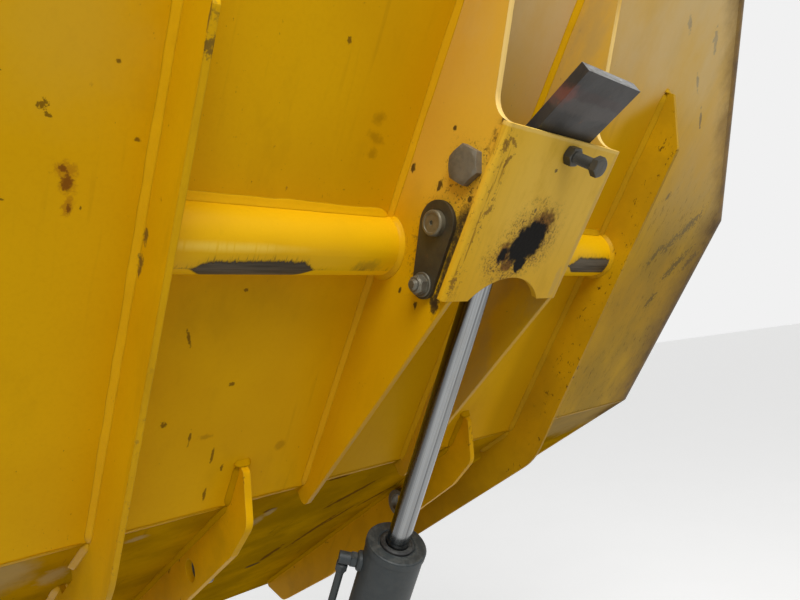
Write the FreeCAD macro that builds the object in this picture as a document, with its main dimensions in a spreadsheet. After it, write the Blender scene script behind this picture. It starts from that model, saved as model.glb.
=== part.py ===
import FreeCAD, Part
import Sketcher
import os

# A front tipping skip of a site dumper with its single tipping ram, in the raised pose.
# Frame: X forward, the way the load slides out, Y to the machine's left, Z up.
# Origin: on the skip's hinge axis, at the middle of the machine.
# The skip is laid out with its floor level, measured from the hinge axis, and then tipped.
# Rear of the fold: X falls by the run along the floor, Z falls by the depth below the floor.

doc = FreeCAD.newDocument("TippingSkip")
sizes = doc.addObject("Spreadsheet::Sheet", "Sizes")

SIZES = [
    ("tip_angle", 51.0),
    ("hinge_ahead", 203.0),
    ("hinge_above", 56.0),
    ("sheet_thick", 6.0),
    ("floor_length", 1160.0),
    ("half_width", 1035.0),
    ("corner_run", 580.0),
    ("ramp_angle", 26.0),
    ("ramp_length", 1000.0),
    ("wall_height", 620.0),
    ("lip_height", 60.0),
    ("bend_radius", 30.0),
    ("flange", 40.0),
    ("rim_size", 50.0),
    ("lip_bar_wide", 100.0),
    ("lip_bar_thick", 12.0),
    ("rib_offset", 458.0),
    ("rib_thick", 8.0),
    ("rib_depth", 88.0),
    ("rib_rear_depth", 71.0),
    ("rib_level", 712.0),
    ("rib_rear", 800.0),
    ("rib_end_depth", 16.0),
    ("rib_front", 640.0),
    ("rib_front_taper", 110.0),
    ("rib_front_depth", 20.0),
    ("rib_knee_radius", 160.0),
    ("hole_start", 112.0),
    ("hole_long", 85.0),
    ("hole_high", 15.0),
    ("hole_slant", 6.0),
    ("cheek_offset", 110.0),
    ("cheek_thick", 10.0),
    ("cheek_rear", 1070.0),
    ("cheek_rear_depth", 6.0),
    ("cheek_over", 22.0),
    ("cheek_toe_depth", 32.0),
    ("cheek_toe_radius", 12.0),
    ("bracket_depth", 155.0),
    ("bracket_low", 449.0),
    ("bracket_high", 688.0),
    ("throat_depth", 117.0),
    ("throat_radius", 36.0),
    ("plate_thick", 10.0),
    ("plate_over", 10.0),
    ("plate_edge_radius", 7.0),
    ("arch_radius", 105.0),
    ("arch_high", 36.0),
    ("tube_at", 461.0),
    ("tube_half", 44.0),
    ("tube_out", 47.0),
    ("tube_flat", 1.0),
    ("lug_offset", 250.0),
    ("lug_thick", 12.0),
    ("lug_rear", 86.0),
    ("lug_rear_depth", 18.0),
    ("lug_rear_lean", 4.0),
    ("lug_rear_radius", 8.0),
    ("lug_knee", 12.0),
    ("lug_knee_depth", 64.0),
    ("lug_knee_radius", 30.0),
    ("lug_heel", 40.0),
    ("lug_heel_depth", 70.0),
    ("lug_low", 620.0),
    ("lug_low_depth", 87.0),
    ("lug_nose_back", 60.0),
    ("lug_nose_depth", 74.0),
    ("lug_nose_radius", 36.0),
    ("lug_short", 50.0),
    ("lug_front_depth", 14.0),
    ("hinge_bore", 40.0),
    ("bush_outer", 60.0),
    ("bush_long", 20.0),
    ("seat_gap", 0.02),
    ("pin_at", 535.0),
    ("pin_depth", 95.0),
    ("pin_size", 35.0),
    ("pin_proud", 16.0),
    ("pin_tail", 8.0),
    ("running_gap", 0.05),
    ("boss_outer", 62.0),
    ("eye_width", 60.0),
    ("eye_outer", 78.0),
    ("side_gap", 2.0),
    ("ram_angle", 5.0),
    ("rod_size", 40.0),
    ("rod_shown", 578.0),
    ("rod_inside", 110.0),
    ("rod_root", 8.0),
    ("gland_outer", 108.0),
    ("gland_flange", 10.0),
    ("spigot_long", 30.0),
    ("barrel_outer", 105.0),
    ("barrel_bore", 90.0),
    ("barrel_long", 640.0),
    ("barrel_base", 30.0),
    ("foot_width", 60.0),
    ("foot_outer", 80.0),
    ("foot_bore", 35.0),
    ("foot_reach", 45.0),
    ("neck_half", 30.0),
    ("neck_short", 22.0),
    ("piston_long", 45.0),
    ("port_roll", 39.0),
    ("port_at", 40.0),
    ("port_outer", 22.0),
    ("port_long", 30.0),
    ("port_cap", 9.0),
    ("pipe_outer", 14.0),
    ("flag_thick", 6.0),
    ("flag_round", 31.0),
    ("flag_end_round", 20.0),
    ("flag_bolt_at", 451.0),
    ("flag_bolt_depth", 109.0),
    ("flag_bolt_size", 16.0),
    ("flag_bolt_hex", 24.0),
    ("washer_outer", 34.0),
    ("washer_thick", 3.0),
    ("flag_nut", 13.0),
    ("stud_end", 5.0),
    ("bolt_gap", 0.1),
    ("clamp_at", 620.0),
    ("clamp_depth", 107.5),
    ("clamp_size", 30.0),
    ("clamp_hex", 46.0),
    ("clamp_hex_turn", 33.0),
    ("clamp_head", 12.0),
    ("clamp_nut", 24.0),
    ("clamp_tail", 5.0),
    ("sleeve_outer", 50.0),
    ("lever_angle", 26.0),
    ("lever_root", 18.6),
    ("lever_reach", 167.4),
    ("lever_half", 62.0),
    ("lever_thick", 16.0),
    ("lever_drop", 5.4),
    ("set_at", 668.0),
    ("set_aside", 9.0),
    ("set_size", 16.0),
    ("set_hex", 24.0),
    ("set_hex_turn", 20.0),
    ("set_head", 10.0),
    ("set_nut", 13.0),
    ("set_proud", 43.0),
    ("stud_hex_turn", 15.0),
    ("wedge_margin", 1.0),
]
for row, (name, value) in enumerate(SIZES, start=1):
    sizes.set("A%d" % row, name)
    sizes.set("B%d" % row, "%.4f" % value)
    sizes.setAlias("B%d" % row, name)
doc.recompute()


def val(expression):
    result = sizes.evalExpression(expression.replace("Sizes.", ""))
    return float(getattr(result, "Value", result))


def s(name):
    return "Sizes." + name


# A point so far back from the fold along the floor and so deep below it.
def under(back, depth):
    return ("-%s - (%s)" % (s("hinge_ahead"), back), "-%s - (%s)" % (s("hinge_above"), depth))


# A point so far forward from the fold along the ramp and so deep below the ramp.
def under_ramp(along, depth):
    slope = s("ramp_angle")
    x = "-%s + (%s) * cos(%s) + (%s) * sin(%s)" % (s("hinge_ahead"), along, slope, depth, slope)
    z = "-%s + (%s) * sin(%s) - (%s) * cos(%s)" % (s("hinge_above"), along, slope, depth, slope)
    return (x, z)


TURN = FreeCAD.Rotation(FreeCAD.Vector(0, 1, 0), val(s("tip_angle")))
TIP = FreeCAD.Placement(FreeCAD.Vector(0, 0, 0), TURN)


def tipped(obj):
    obj.Placement = TIP
    obj.setExpression("Placement.Rotation.Angle", s("tip_angle") + " * 1 deg")
    return obj


# Puts a piece that has its own place on the level skip, and tips it with the skip.
def tipped_at(obj, x, y, z, turn):
    obj.Placement = TIP.multiply(FreeCAD.Placement(FreeCAD.Vector(val(x), val(y), val(z)), turn))
    return obj


def yaw(angle):
    return FreeCAD.Rotation(FreeCAD.Vector(0, 0, 1), angle)


def new_body(label):
    body = doc.addObject("PartDesign::Body", label)
    body.Label = label
    return body


def plane_of(body, role):
    return [f for f in body.Origin.OriginFeatures if f.Role == role][0]


def add_loop(sketch, points):
    first = sketch.GeometryCount
    count = len(points)
    numbers = [(val(x), val(y)) for x, y in points]
    for i in range(count):
        a = numbers[i]
        b = numbers[(i + 1) % count]
        line = Part.LineSegment(FreeCAD.Vector(a[0], a[1], 0), FreeCAD.Vector(b[0], b[1], 0))
        sketch.addGeometry(line, False)
    for i in range(count):
        sketch.addConstraint(Sketcher.Constraint("Coincident", first + i, 2, first + (i + 1) % count, 1))
    for i in range(count):
        c = sketch.addConstraint(Sketcher.Constraint("DistanceX", first + i, 1, numbers[i][0]))
        sketch.setExpression("Constraints[%d]" % c, points[i][0])
        c = sketch.addConstraint(Sketcher.Constraint("DistanceY", first + i, 1, numbers[i][1]))
        sketch.setExpression("Constraints[%d]" % c, points[i][1])


def add_circle(sketch, centre, diameter):
    at = FreeCAD.Vector(val(centre[0]), val(centre[1]), 0)
    index = sketch.addGeometry(Part.Circle(at, FreeCAD.Vector(0, 0, 1), val(diameter) / 2), False)
    c = sketch.addConstraint(Sketcher.Constraint("DistanceX", index, 3, at.x))
    sketch.setExpression("Constraints[%d]" % c, centre[0])
    c = sketch.addConstraint(Sketcher.Constraint("DistanceY", index, 3, at.y))
    sketch.setExpression("Constraints[%d]" % c, centre[1])
    c = sketch.addConstraint(Sketcher.Constraint("Diameter", index, val(diameter)))
    sketch.setExpression("Constraints[%d]" % c, diameter)


def new_sketch(body, name, role, offset):
    sketch = body.newObject("Sketcher::SketchObject", name)
    sketch.AttachmentSupport = (plane_of(body, role), [""])
    sketch.MapMode = "FlatFace"
    sketch.setExpression("AttachmentOffset.Base.z", "(%s) * 1 mm" % offset)
    return sketch


# Rounds the edges of a body that pass through the given points.
def round_edges(body, name, radius, points, tolerance=0.6):
    doc.recompute()
    base = body.Tip
    names = []
    for i, edge in enumerate(base.Shape.Edges):
        for point in points:
            if edge.distToShape(Part.Vertex(point))[0] < tolerance:
                names.append("Edge%d" % (i + 1))
                break
    fillet = body.newObject("PartDesign::Fillet", name)
    fillet.Base = (base, names)
    fillet.setExpression("Radius", radius)
    return fillet


# A point on the plate's outline, at a given Y.
def on_plate(point, y):
    return FreeCAD.Vector(val(point[0]), val(y), val(point[1]))


# A flat plate cut to an outline seen from the side, standing from one Y to another.
def side_plate(label, points, low, thick, holes=()):
    body = new_body(label)
    sketch = new_sketch(body, label + "_outline", "XZ_Plane", "-(%s) - (%s)" % (low, thick))
    add_loop(sketch, points)
    for centre, diameter in holes:
        add_circle(sketch, centre, diameter)
    pad = body.newObject("PartDesign::Pad", label + "_pad")
    pad.Profile = sketch
    pad.setExpression("Length", thick)
    return body


# A round bar or ring along Y.
def side_round(label, centre, low, length, outer, inner=None):
    body = new_body(label)
    sketch = new_sketch(body, label + "_section", "XZ_Plane", "-(%s) - (%s)" % (low, length))
    add_circle(sketch, centre, outer)
    if inner:
        add_circle(sketch, centre, inner)
    pad = body.newObject("PartDesign::Pad", label + "_pad")
    pad.Profile = sketch
    pad.setExpression("Length", length)
    return body


def mirrored(label, source):
    copy = doc.addObject("Part::Mirroring", label)
    copy.Label = label
    copy.Source = source
    copy.Base = (0, 0, 0)
    copy.Normal = (0, 1, 0)
    return copy


def common(label, base, tool):
    part = doc.addObject("Part::Common", label)
    part.Label = label
    part.Base = base
    part.Tool = tool
    return part


nodes = []


def keep(obj):
    nodes.append(obj)
    return obj


def keep_pair(stem, left):
    keep(left)
    keep(mirrored(stem + "_right", left))


# Floor sheet: a level plate with both rear corners cut at 45 degrees.
CORNER_TURN = "tan(22.5)"
MITRE = "%s * tan(%s / 2)" % (s("sheet_thick"), s("ramp_angle"))
floor_front = "-%s - %s" % (s("hinge_ahead"), MITRE)
in_side = "(%s - %s)" % (s("half_width"), s("flange"))
in_corner = "(-%s - (%s - %s) + %s * %s)" % (
    s("hinge_ahead"), s("floor_length"), s("corner_run"), s("flange"), CORNER_TURN)
in_rear = "(-%s - %s + %s)" % (s("hinge_ahead"), s("floor_length"), s("flange"))
in_rear_half = "(%s - %s - %s * %s)" % (s("half_width"), s("corner_run"), s("flange"), CORNER_TURN)
floor = new_body("floor_sheet")
sketch = new_sketch(floor, "floor_outline", "XY_Plane", "-" + s("hinge_above"))
add_loop(sketch, [
    (floor_front, "-" + in_side),
    (floor_front, in_side),
    (in_corner, in_side),
    (in_rear, in_rear_half),
    (in_rear, "-" + in_rear_half),
    (in_corner, "-" + in_side),
])
pad = floor.newObject("PartDesign::Pad", "floor_pad")
pad.Profile = sketch
pad.setExpression("Length", s("sheet_thick"))
keep(tipped(floor))

# Ramp sheet: rises forward from the fold to the pouring lip.
inside = "-" + s("sheet_thick")
ramp = side_plate("ramp_sheet", [
    (floor_front, "-" + s("hinge_above")),
    under("0", "0"),
    under_ramp(s("ramp_length"), "0"),
    under_ramp(s("ramp_length"), inside),
    (floor_front, "-%s + %s" % (s("hinge_above"), s("sheet_thick"))),
], "-" + in_side, "2 * " + in_side)
keep(tipped(ramp))


# A folded wall with a rounded foot: X runs along its outer face, Y points into the skip.
def folded_wall(label, length, start_mitre, end_mitre):
    body = new_body(label + "_section")
    sketch = new_sketch(body, label + "_outline", "YZ_Plane", "0")
    add_loop(sketch, [
        ("0", "0"),
        (s("flange"), "0"),
        (s("flange"), s("sheet_thick")),
        (s("sheet_thick"), s("sheet_thick")),
        (s("sheet_thick"), s("wall_height")),
        ("0", s("wall_height")),
    ])
    pad = body.newObject("PartDesign::Pad", label + "_pad")
    pad.Profile = sketch
    pad.setExpression("Length", length)
    middle = val(length) / 2
    thick = val(s("sheet_thick"))
    round_edges(body, label + "_bend_out", s("bend_radius"), [FreeCAD.Vector(middle, 0, 0)])
    round_edges(body, label + "_bend_in", "%s - %s" % (s("bend_radius"), s("sheet_thick")),
                [FreeCAD.Vector(middle, thick, thick)])
    cut = doc.addObject("Part::Wedge", label + "_mitre")
    cut.setExpression("Xmin", "0")
    cut.setExpression("Xmax", length)
    cut.setExpression("Ymin", "0")
    cut.setExpression("Ymax", s("flange"))
    cut.setExpression("Zmin", "0")
    cut.setExpression("Zmax", s("wall_height"))
    cut.setExpression("X2min", "%s * %s" % (s("flange"), start_mitre))
    cut.setExpression("X2max", "%s - %s * %s" % (length, s("flange"), end_mitre))
    cut.setExpression("Z2min", "0")
    cut.setExpression("Z2max", s("wall_height"))
    return body, cut


fold_x = "-" + s("hinge_ahead")
fold_z = "-" + s("hinge_above")
corner_at = "(%s - %s)" % (s("floor_length"), s("corner_run"))

# Side walls, from the fold back to the cut corner. Their front ends follow the fold's mitre.
section, cut = folded_wall("side_wall", corner_at, "0", CORNER_TURN)
plan = common("side_wall_plan", section, cut)
fold_lean = "%s * tan(%s / 2)" % (s("wall_height"), s("ramp_angle"))
profile = side_plate("side_wall_profile", [
    ("0", "0"),
    (corner_at, "0"),
    (corner_at, s("wall_height")),
    (fold_lean, s("wall_height")),
], "-" + s("wedge_margin"), "%s + 2 * %s" % (s("flange"), s("wedge_margin")))
wall = common("side_wall_left", plan, profile)
keep_pair("side_wall", tipped_at(wall, fold_x, s("half_width"), fold_z, yaw(180)))

# Corner walls across the two rear corners.
corner_long = "(%s * sqrt(2))" % s("corner_run")
section, cut = folded_wall("corner_wall", corner_long, CORNER_TURN, CORNER_TURN)
wall = common("corner_wall_left", section, cut)
keep_pair("corner_wall", tipped_at(wall, "%s - %s" % (fold_x, corner_at), s("half_width"), fold_z, yaw(225)))

# Rear wall, between the corner walls.
rear_half = "(%s - %s)" % (s("half_width"), s("corner_run"))
section, cut = folded_wall("rear_wall", "2 * " + rear_half, CORNER_TURN, CORNER_TURN)
wall = common("rear_wall", section, cut)
rear_x = "%s - %s" % (fold_x, s("floor_length"))
keep(tipped_at(wall, rear_x, rear_half, fold_z, yaw(270)))

# Wings: the side walls beside the ramp, sloping down to the lip.
section, cut = folded_wall("wing", s("ramp_length"), "0", "0")
lean = "tan(%s / 2)" % s("ramp_angle")
top_x = "(%s - %s * %s)" % (s("ramp_length"), s("wall_height"), lean)
wing_profile = side_plate("wing_profile", [
    ("0", "0"),
    (s("ramp_length"), "0"),
    (top_x, s("wall_height")),
    ("0", s("lip_height")),
], "-" + s("wedge_margin"), "%s + 2 * %s" % (s("flange"), s("wedge_margin")))
plan = common("wing_plan", section, cut)
wing = common("wing_left", plan, wing_profile)
lip_x, lip_z = under_ramp(s("ramp_length"), "0")
pitch = FreeCAD.Rotation(FreeCAD.Vector(0, 1, 0), -val(s("ramp_angle")))
keep_pair("wing", tipped_at(wing, lip_x, s("half_width"), lip_z, pitch.multiply(yaw(180))))


# Rim bars: square bars round the outside of the top edge.
def rim_bar(label, start, end, start_grow, end_grow):
    bar = doc.addObject("Part::Wedge", label)
    bar.Label = label
    bar.setExpression("Ymin", "-" + s("rim_size"))
    bar.setExpression("Ymax", "0")
    bar.setExpression("Xmin", "%s - %s * %s" % (start, s("rim_size"), start_grow))
    bar.setExpression("Xmax", "%s + %s * %s" % (end, s("rim_size"), end_grow))
    bar.setExpression("X2min", start)
    bar.setExpression("X2max", end)
    for low, high in (("Zmin", "Zmax"), ("Z2min", "Z2max")):
        bar.setExpression(low, "%s - %s" % (s("wall_height"), s("rim_size")))
        bar.setExpression(high, s("wall_height"))
    return bar


bar = rim_bar("rim_side_left", fold_lean, corner_at, "0", CORNER_TURN)
keep_pair("rim_side", tipped_at(bar, fold_x, s("half_width"), fold_z, yaw(180)))
bar = rim_bar("rim_corner_left", "0", corner_long, CORNER_TURN, CORNER_TURN)
keep_pair("rim_corner", tipped_at(bar, "%s - %s" % (fold_x, corner_at), s("half_width"), fold_z, yaw(225)))
bar = rim_bar("rim_rear", "0", "2 * " + rear_half, CORNER_TURN, CORNER_TURN)
keep(tipped_at(bar, rear_x, rear_half, fold_z, yaw(270)))

rim_top = ("%s - %s" % (fold_x, fold_lean), "%s + %s" % (fold_z, s("wall_height")))
rim_end = under_ramp(s("ramp_length"), "-" + s("lip_height"))
rim_wing = side_plate("rim_wing_left", [
    rim_top,
    (rim_top[0], "%s - %s" % (rim_top[1], s("rim_size"))),
    (rim_end[0], "%s - %s" % (rim_end[1], s("rim_size"))),
    rim_end,
], s("half_width"), s("rim_size"))
keep_pair("rim_wing", tipped(rim_wing))

# Wear bar across the pouring lip, on the load side of the ramp.
lip_bar = side_plate("lip_bar", [
    under_ramp(s("ramp_length"), inside),
    under_ramp(s("ramp_length"), "%s - %s" % (inside, s("lip_bar_thick"))),
    under_ramp("%s - %s" % (s("ramp_length"), s("lip_bar_wide")), "%s - %s" % (inside, s("lip_bar_thick"))),
    under_ramp("%s - %s" % (s("ramp_length"), s("lip_bar_wide")), inside),
], "-" + in_side, "2 * " + in_side)
keep(tipped(lip_bar))

# Two long ribs under the floor and the ramp, shallower towards the rear, each with a slot at its root.
hole_end = "%s + %s" % (s("hole_start"), s("hole_long"))
fold_back = "-%s * tan(%s / 2)" % (s("rib_depth"), s("ramp_angle"))
rib = side_plate("rib_left", [
    under(s("rib_rear"), "0"),
    under("0", "0"),
    under_ramp(s("hole_start"), "0"),
    under_ramp("%s + %s" % (s("hole_start"), s("hole_slant")), s("hole_high")),
    under_ramp("%s - %s" % (hole_end, s("hole_slant")), s("hole_high")),
    under_ramp(hole_end, "0"),
    under_ramp(s("rib_front"), "0"),
    under_ramp(s("rib_front"), s("rib_front_depth")),
    under_ramp("%s - %s" % (s("rib_front"), s("rib_front_taper")), s("rib_depth")),
    under(fold_back, s("rib_depth")),
    under(s("rib_level"), s("rib_rear_depth")),
    under(s("rib_rear"), s("rib_end_depth")),
], s("rib_offset"), s("rib_thick"))
rib_mid = "%s + %s / 2" % (s("rib_offset"), s("rib_thick"))
round_edges(rib, "rib_knee", s("rib_knee_radius"), [on_plate(under(fold_back, s("rib_depth")), rib_mid)])
keep_pair("rib", tipped(rib))

# Ram bracket: two tapered cheeks, bored for the rod's pin and the clamp bolt.
pin_point = under(s("pin_at"), s("pin_depth"))
clamp_point = under(s("clamp_at"), s("clamp_depth"))
pin_bore = "%s + 2 * %s" % (s("pin_size"), s("seat_gap"))
clamp_bore = "%s + 2 * %s" % (s("clamp_size"), s("seat_gap"))
plate_inside = "(%s - %s)" % (s("bracket_depth"), s("plate_thick"))
cheek = side_plate("cheek_left", [
    under_ramp(s("cheek_over"), "0"),
    under_ramp(s("cheek_over"), s("cheek_toe_depth")),
    under(s("bracket_low"), s("bracket_depth")),
    under(s("bracket_low"), plate_inside),
    under(s("bracket_high"), plate_inside),
    under(s("bracket_high"), s("throat_depth")),
    under(s("cheek_rear"), s("cheek_rear_depth")),
    under(s("cheek_rear"), "0"),
    under("0", "0"),
], s("cheek_offset"), s("cheek_thick"), [(pin_point, pin_bore), (clamp_point, clamp_bore)])
cheek_mid = "%s + %s / 2" % (s("cheek_offset"), s("cheek_thick"))
round_edges(cheek, "cheek_throat", s("throat_radius"),
            [on_plate(under(s("bracket_high"), s("throat_depth")), cheek_mid)])
round_edges(cheek, "cheek_toe", s("cheek_toe_radius"),
            [on_plate(under_ramp(s("cheek_over"), s("cheek_toe_depth")), cheek_mid)])
keep_pair("cheek", tipped(cheek))

# Strike plate over the cheeks' edges, with an arched lower edge that the rod swings in.
plate_low = "-%s - %s" % (s("hinge_above"), s("bracket_depth"))
low_x = under(s("bracket_low"), "0")[0]
high_x = under(s("bracket_high"), "0")[0]
arch_x = under("%s + %s - %s" % (s("bracket_low"), s("arch_high"), s("arch_radius")), "0")[0]
plate_half = "(%s + %s + %s)" % (s("cheek_offset"), s("cheek_thick"), s("plate_over"))
plate = new_body("strike_plate")
sketch = new_sketch(plate, "strike_outline", "XY_Plane", plate_low)
set_x = under(s("set_at"), "0")[0]
set_y = "-" + s("set_aside")
set_point = (set_x, set_y)
add_loop(sketch, [
    (high_x, "-" + plate_half),
    (low_x, "-" + plate_half),
    (low_x, plate_half),
    (high_x, plate_half),
])
add_circle(sketch, set_point, "%s + 2 * %s" % (s("set_size"), s("bolt_gap")))
pad = plate.newObject("PartDesign::Pad", "strike_pad")
pad.Profile = sketch
pad.setExpression("Length", s("plate_thick"))
arch_sketch = new_sketch(plate, "arch_outline", "XY_Plane", plate_low)
add_circle(arch_sketch, (arch_x, "0"), "2 * " + s("arch_radius"))
arch = plate.newObject("PartDesign::Pocket", "strike_arch")
arch.Profile = arch_sketch
arch.Reversed = True
arch.setExpression("Length", s("plate_thick"))
plate_mid = "(%s + %s) / 2" % (low_x, high_x)
round_edges(plate, "plate_edges", s("plate_edge_radius"),
            [FreeCAD.Vector(val(plate_mid), side * val(plate_half), val(plate_low)) for side in (-1, 1)])
keep(tipped(plate))

# Cross tube, a half-round section from each cheek to its rib.
cheek_out = "(%s + %s)" % (s("cheek_offset"), s("cheek_thick"))
tube_low = "%s - %s" % (s("tube_at"), s("tube_half"))
tube_high = "%s + %s" % (s("tube_at"), s("tube_half"))
tube = side_plate("cross_tube_left", [
    under(tube_low, "0"),
    under(tube_low, s("tube_out")),
    under(tube_high, s("tube_out")),
    under(tube_high, "0"),
], cheek_out, "%s - %s" % (s("rib_offset"), cheek_out))
tube_mid = "(%s + %s) / 2" % (s("rib_offset"), cheek_out)
round_edges(tube, "tube_nose", "%s - %s / 2" % (s("tube_half"), s("tube_flat")), [
    on_plate(under(tube_low, s("tube_out")), tube_mid),
    on_plate(under(tube_high, s("tube_out")), tube_mid),
])
keep_pair("cross_tube", tipped(tube))

# Hinge lugs: long plates from behind the fold to near the lip, each bored for a hinge pin.
lug_tip = under("%s - %s" % (s("lug_rear"), s("lug_rear_lean")), s("lug_rear_depth"))
lug_knee = under(s("lug_knee"), s("lug_knee_depth"))
lug_front = "(%s - %s)" % (s("ramp_length"), s("lug_short"))
lug_nose = under_ramp("%s - %s" % (lug_front, s("lug_nose_back")), s("lug_nose_depth"))
lug = side_plate("hinge_lug_left", [
    under(s("lug_rear"), "0"),
    lug_tip,
    lug_knee,
    under_ramp(s("lug_heel"), s("lug_heel_depth")),
    under_ramp(s("lug_low"), s("lug_low_depth")),
    lug_nose,
    under_ramp(lug_front, s("lug_front_depth")),
    under_ramp(lug_front, "0"),
    under("0", "0"),
], s("lug_offset"), s("lug_thick"), [(("0", "0"), s("hinge_bore"))])
lug_mid = "%s + %s / 2" % (s("lug_offset"), s("lug_thick"))
round_edges(lug, "lug_knee_round", s("lug_knee_radius"), [on_plate(lug_knee, lug_mid)])
round_edges(lug, "lug_nose_round", s("lug_nose_radius"), [on_plate(lug_nose, lug_mid)])
round_edges(lug, "lug_rear_round", s("lug_rear_radius"), [on_plate(lug_tip, lug_mid)])
keep_pair("hinge_lug", tipped(lug))
bush = side_round("hinge_bush_left", ("0", "0"), "%s - %s" % (s("lug_offset"), s("bush_long")),
                  s("bush_long"), s("bush_outer"), s("hinge_bore"))
keep_pair("hinge_bush", tipped(bush))

# Bosses between the cheeks and the rod's eye, on the pin.
eye_half = "%s / 2" % s("eye_width")
boss_in = "(%s + %s)" % (eye_half, s("side_gap"))
boss = side_round("pin_boss_left", pin_point, boss_in, "%s - %s" % (s("cheek_offset"), boss_in),
                  s("boss_outer"), pin_bore)
keep_pair("pin_boss", tipped(boss))

# The pin through the bracket, kept by a flag plate and its bolt on the left cheek.
pin_start = "-%s - %s" % (cheek_out, s("pin_tail"))
pin_end = "(%s + %s)" % (cheek_out, s("pin_proud"))
pin = side_round("bracket_pin", pin_point, pin_start, "%s - (%s)" % (pin_end, pin_start), s("pin_size"))
keep(tipped(pin))


def add_pad(body, name, role, offset, length, loops=(), circles=()):
    sketch = new_sketch(body, name + "_sketch", role, offset)
    for points in loops:
        add_loop(sketch, points)
    for centre, diameter in circles:
        add_circle(sketch, centre, diameter)
    pad = body.newObject("PartDesign::Pad", name)
    pad.Profile = sketch
    pad.setExpression("Length", length)
    return pad


# The corners of a hexagon of a given width across flats round a centre.
def hexagon(centre, flats, first="0"):
    points = []
    for k in range(6):
        angle = "%s + %d" % (first, 60 * k)
        reach = "(%s) / (2 * cos(30))" % flats
        points.append(("%s + %s * cos(%s)" % (centre[0], reach, angle),
                       "%s + %s * sin(%s)" % (centre[1], reach, angle)))
    return points


# Flag plate: two rounds joined by their tangents, one on the pin and one on the bolt.
bolt_point = under(s("flag_bolt_at"), s("flag_bolt_depth"))
pin_xy = FreeCAD.Vector(val(pin_point[0]), val(pin_point[1]), 0)
bolt_xy = FreeCAD.Vector(val(bolt_point[0]), val(bolt_point[1]), 0)
along = bolt_xy - pin_xy
big = val(s("flag_round"))
small = val(s("flag_end_round"))
share = (big - small) / along.Length
along.normalize()
across = FreeCAD.Vector(-along.y, along.x, 0)
side = (1 - share * share) ** 0.5
tangents = []
for centre, radius, sense in ((pin_xy, big, 1), (bolt_xy, small, 1), (bolt_xy, small, -1), (pin_xy, big, -1)):
    point = centre + along * (share * radius) + across * (sense * side * radius)
    tangents.append(("%.6f" % point.x, "%.6f" % point.y))
flag = new_body("flag_plate")
flag_offset = "-%s - %s" % (cheek_out, s("flag_thick"))
add_pad(flag, "flag_pin_end", "XZ_Plane", flag_offset, s("flag_thick"), circles=[(pin_point, "2 * " + s("flag_round"))])
add_pad(flag, "flag_middle", "XZ_Plane", flag_offset, s("flag_thick"), loops=[tangents])
add_pad(flag, "flag_bolt_end", "XZ_Plane", flag_offset, s("flag_thick"),
        circles=[(bolt_point, "2 * " + s("flag_end_round"))])
hole_sketch = new_sketch(flag, "flag_hole_sketch", "XZ_Plane", flag_offset)
add_circle(hole_sketch, pin_point, pin_bore)
add_circle(hole_sketch, bolt_point, "%s + 2 * %s" % (s("flag_bolt_size"), s("bolt_gap")))
holes = flag.newObject("PartDesign::Pocket", "flag_holes")
holes.Profile = hole_sketch
holes.Reversed = True
holes.setExpression("Length", s("flag_thick"))
keep(tipped(flag))

# The flag plate's stud, welded to the cheek, with its washer and nut.
stud = new_body("flag_stud")
stud_long = "(%s + %s + %s + %s)" % (s("flag_thick"), s("washer_thick"), s("flag_nut"), s("stud_end"))
add_pad(stud, "stud_shank", "XZ_Plane", "-%s - %s" % (cheek_out, stud_long), stud_long,
        circles=[(bolt_point, s("flag_bolt_size"))])
washer_out = "-%s - %s - %s" % (cheek_out, s("flag_thick"), s("washer_thick"))
add_pad(stud, "stud_washer", "XZ_Plane", washer_out, s("washer_thick"),
        circles=[(bolt_point, s("washer_outer"))])
add_pad(stud, "stud_nut", "XZ_Plane", "%s - %s" % (washer_out, s("flag_nut")), s("flag_nut"),
        loops=[hexagon(bolt_point, s("flag_bolt_hex"), s("stud_hex_turn"))])
keep(tipped(stud))

# Clamp bolt through the bracket, head on the left and nut on the right.
clamp = new_body("clamp_bolt")
clamp_tail = "(%s + %s + %s)" % (cheek_out, s("clamp_nut"), s("clamp_tail"))
add_pad(clamp, "clamp_shank", "XZ_Plane", "-" + cheek_out, "%s + %s" % (cheek_out, clamp_tail),
        circles=[(clamp_point, s("clamp_size"))])
add_pad(clamp, "clamp_head", "XZ_Plane", "-%s - %s" % (cheek_out, s("clamp_head")), s("clamp_head"),
        loops=[hexagon(clamp_point, s("clamp_hex"), s("clamp_hex_turn"))])
keep(tipped(clamp))
nut = new_body("clamp_nut")
add_pad(nut, "clamp_nut_pad", "XZ_Plane", cheek_out, s("clamp_nut"),
        loops=[hexagon(clamp_point, s("clamp_hex"), s("clamp_hex_turn"))], circles=[(clamp_point, clamp_bore)])
keep(tipped(nut))


# Stop lever: a sleeve clamped between the cheeks and a flat bar that leans out past the strike plate.
def on_lever(reach, aside):
    turn = s("lever_angle")
    back = "%s + (%s) * cos(%s) - (%s) * sin(%s)" % (s("clamp_at"), reach, turn, aside, turn)
    deep = "%s + (%s) * sin(%s) + (%s) * cos(%s)" % (s("clamp_depth"), reach, turn, aside, turn)
    return under(back, deep)


lever = new_body("stop_lever")
add_pad(lever, "lever_sleeve", "XZ_Plane", "-" + s("cheek_offset"), "2 * " + s("cheek_offset"),
        circles=[(clamp_point, s("sleeve_outer")), (clamp_point, clamp_bore)])
lever_out = "(%s / 2 - %s)" % (s("lever_thick"), s("lever_drop"))
lever_in = "(-%s / 2 - %s)" % (s("lever_thick"), s("lever_drop"))
add_pad(lever, "lever_bar", "XZ_Plane", "-" + s("lever_half"), "2 * " + s("lever_half"), loops=[[
    on_lever(s("lever_root"), lever_in),
    on_lever(s("lever_reach"), lever_in),
    on_lever(s("lever_reach"), lever_out),
    on_lever(s("lever_root"), lever_out),
]])
keep(tipped(lever))

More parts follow.
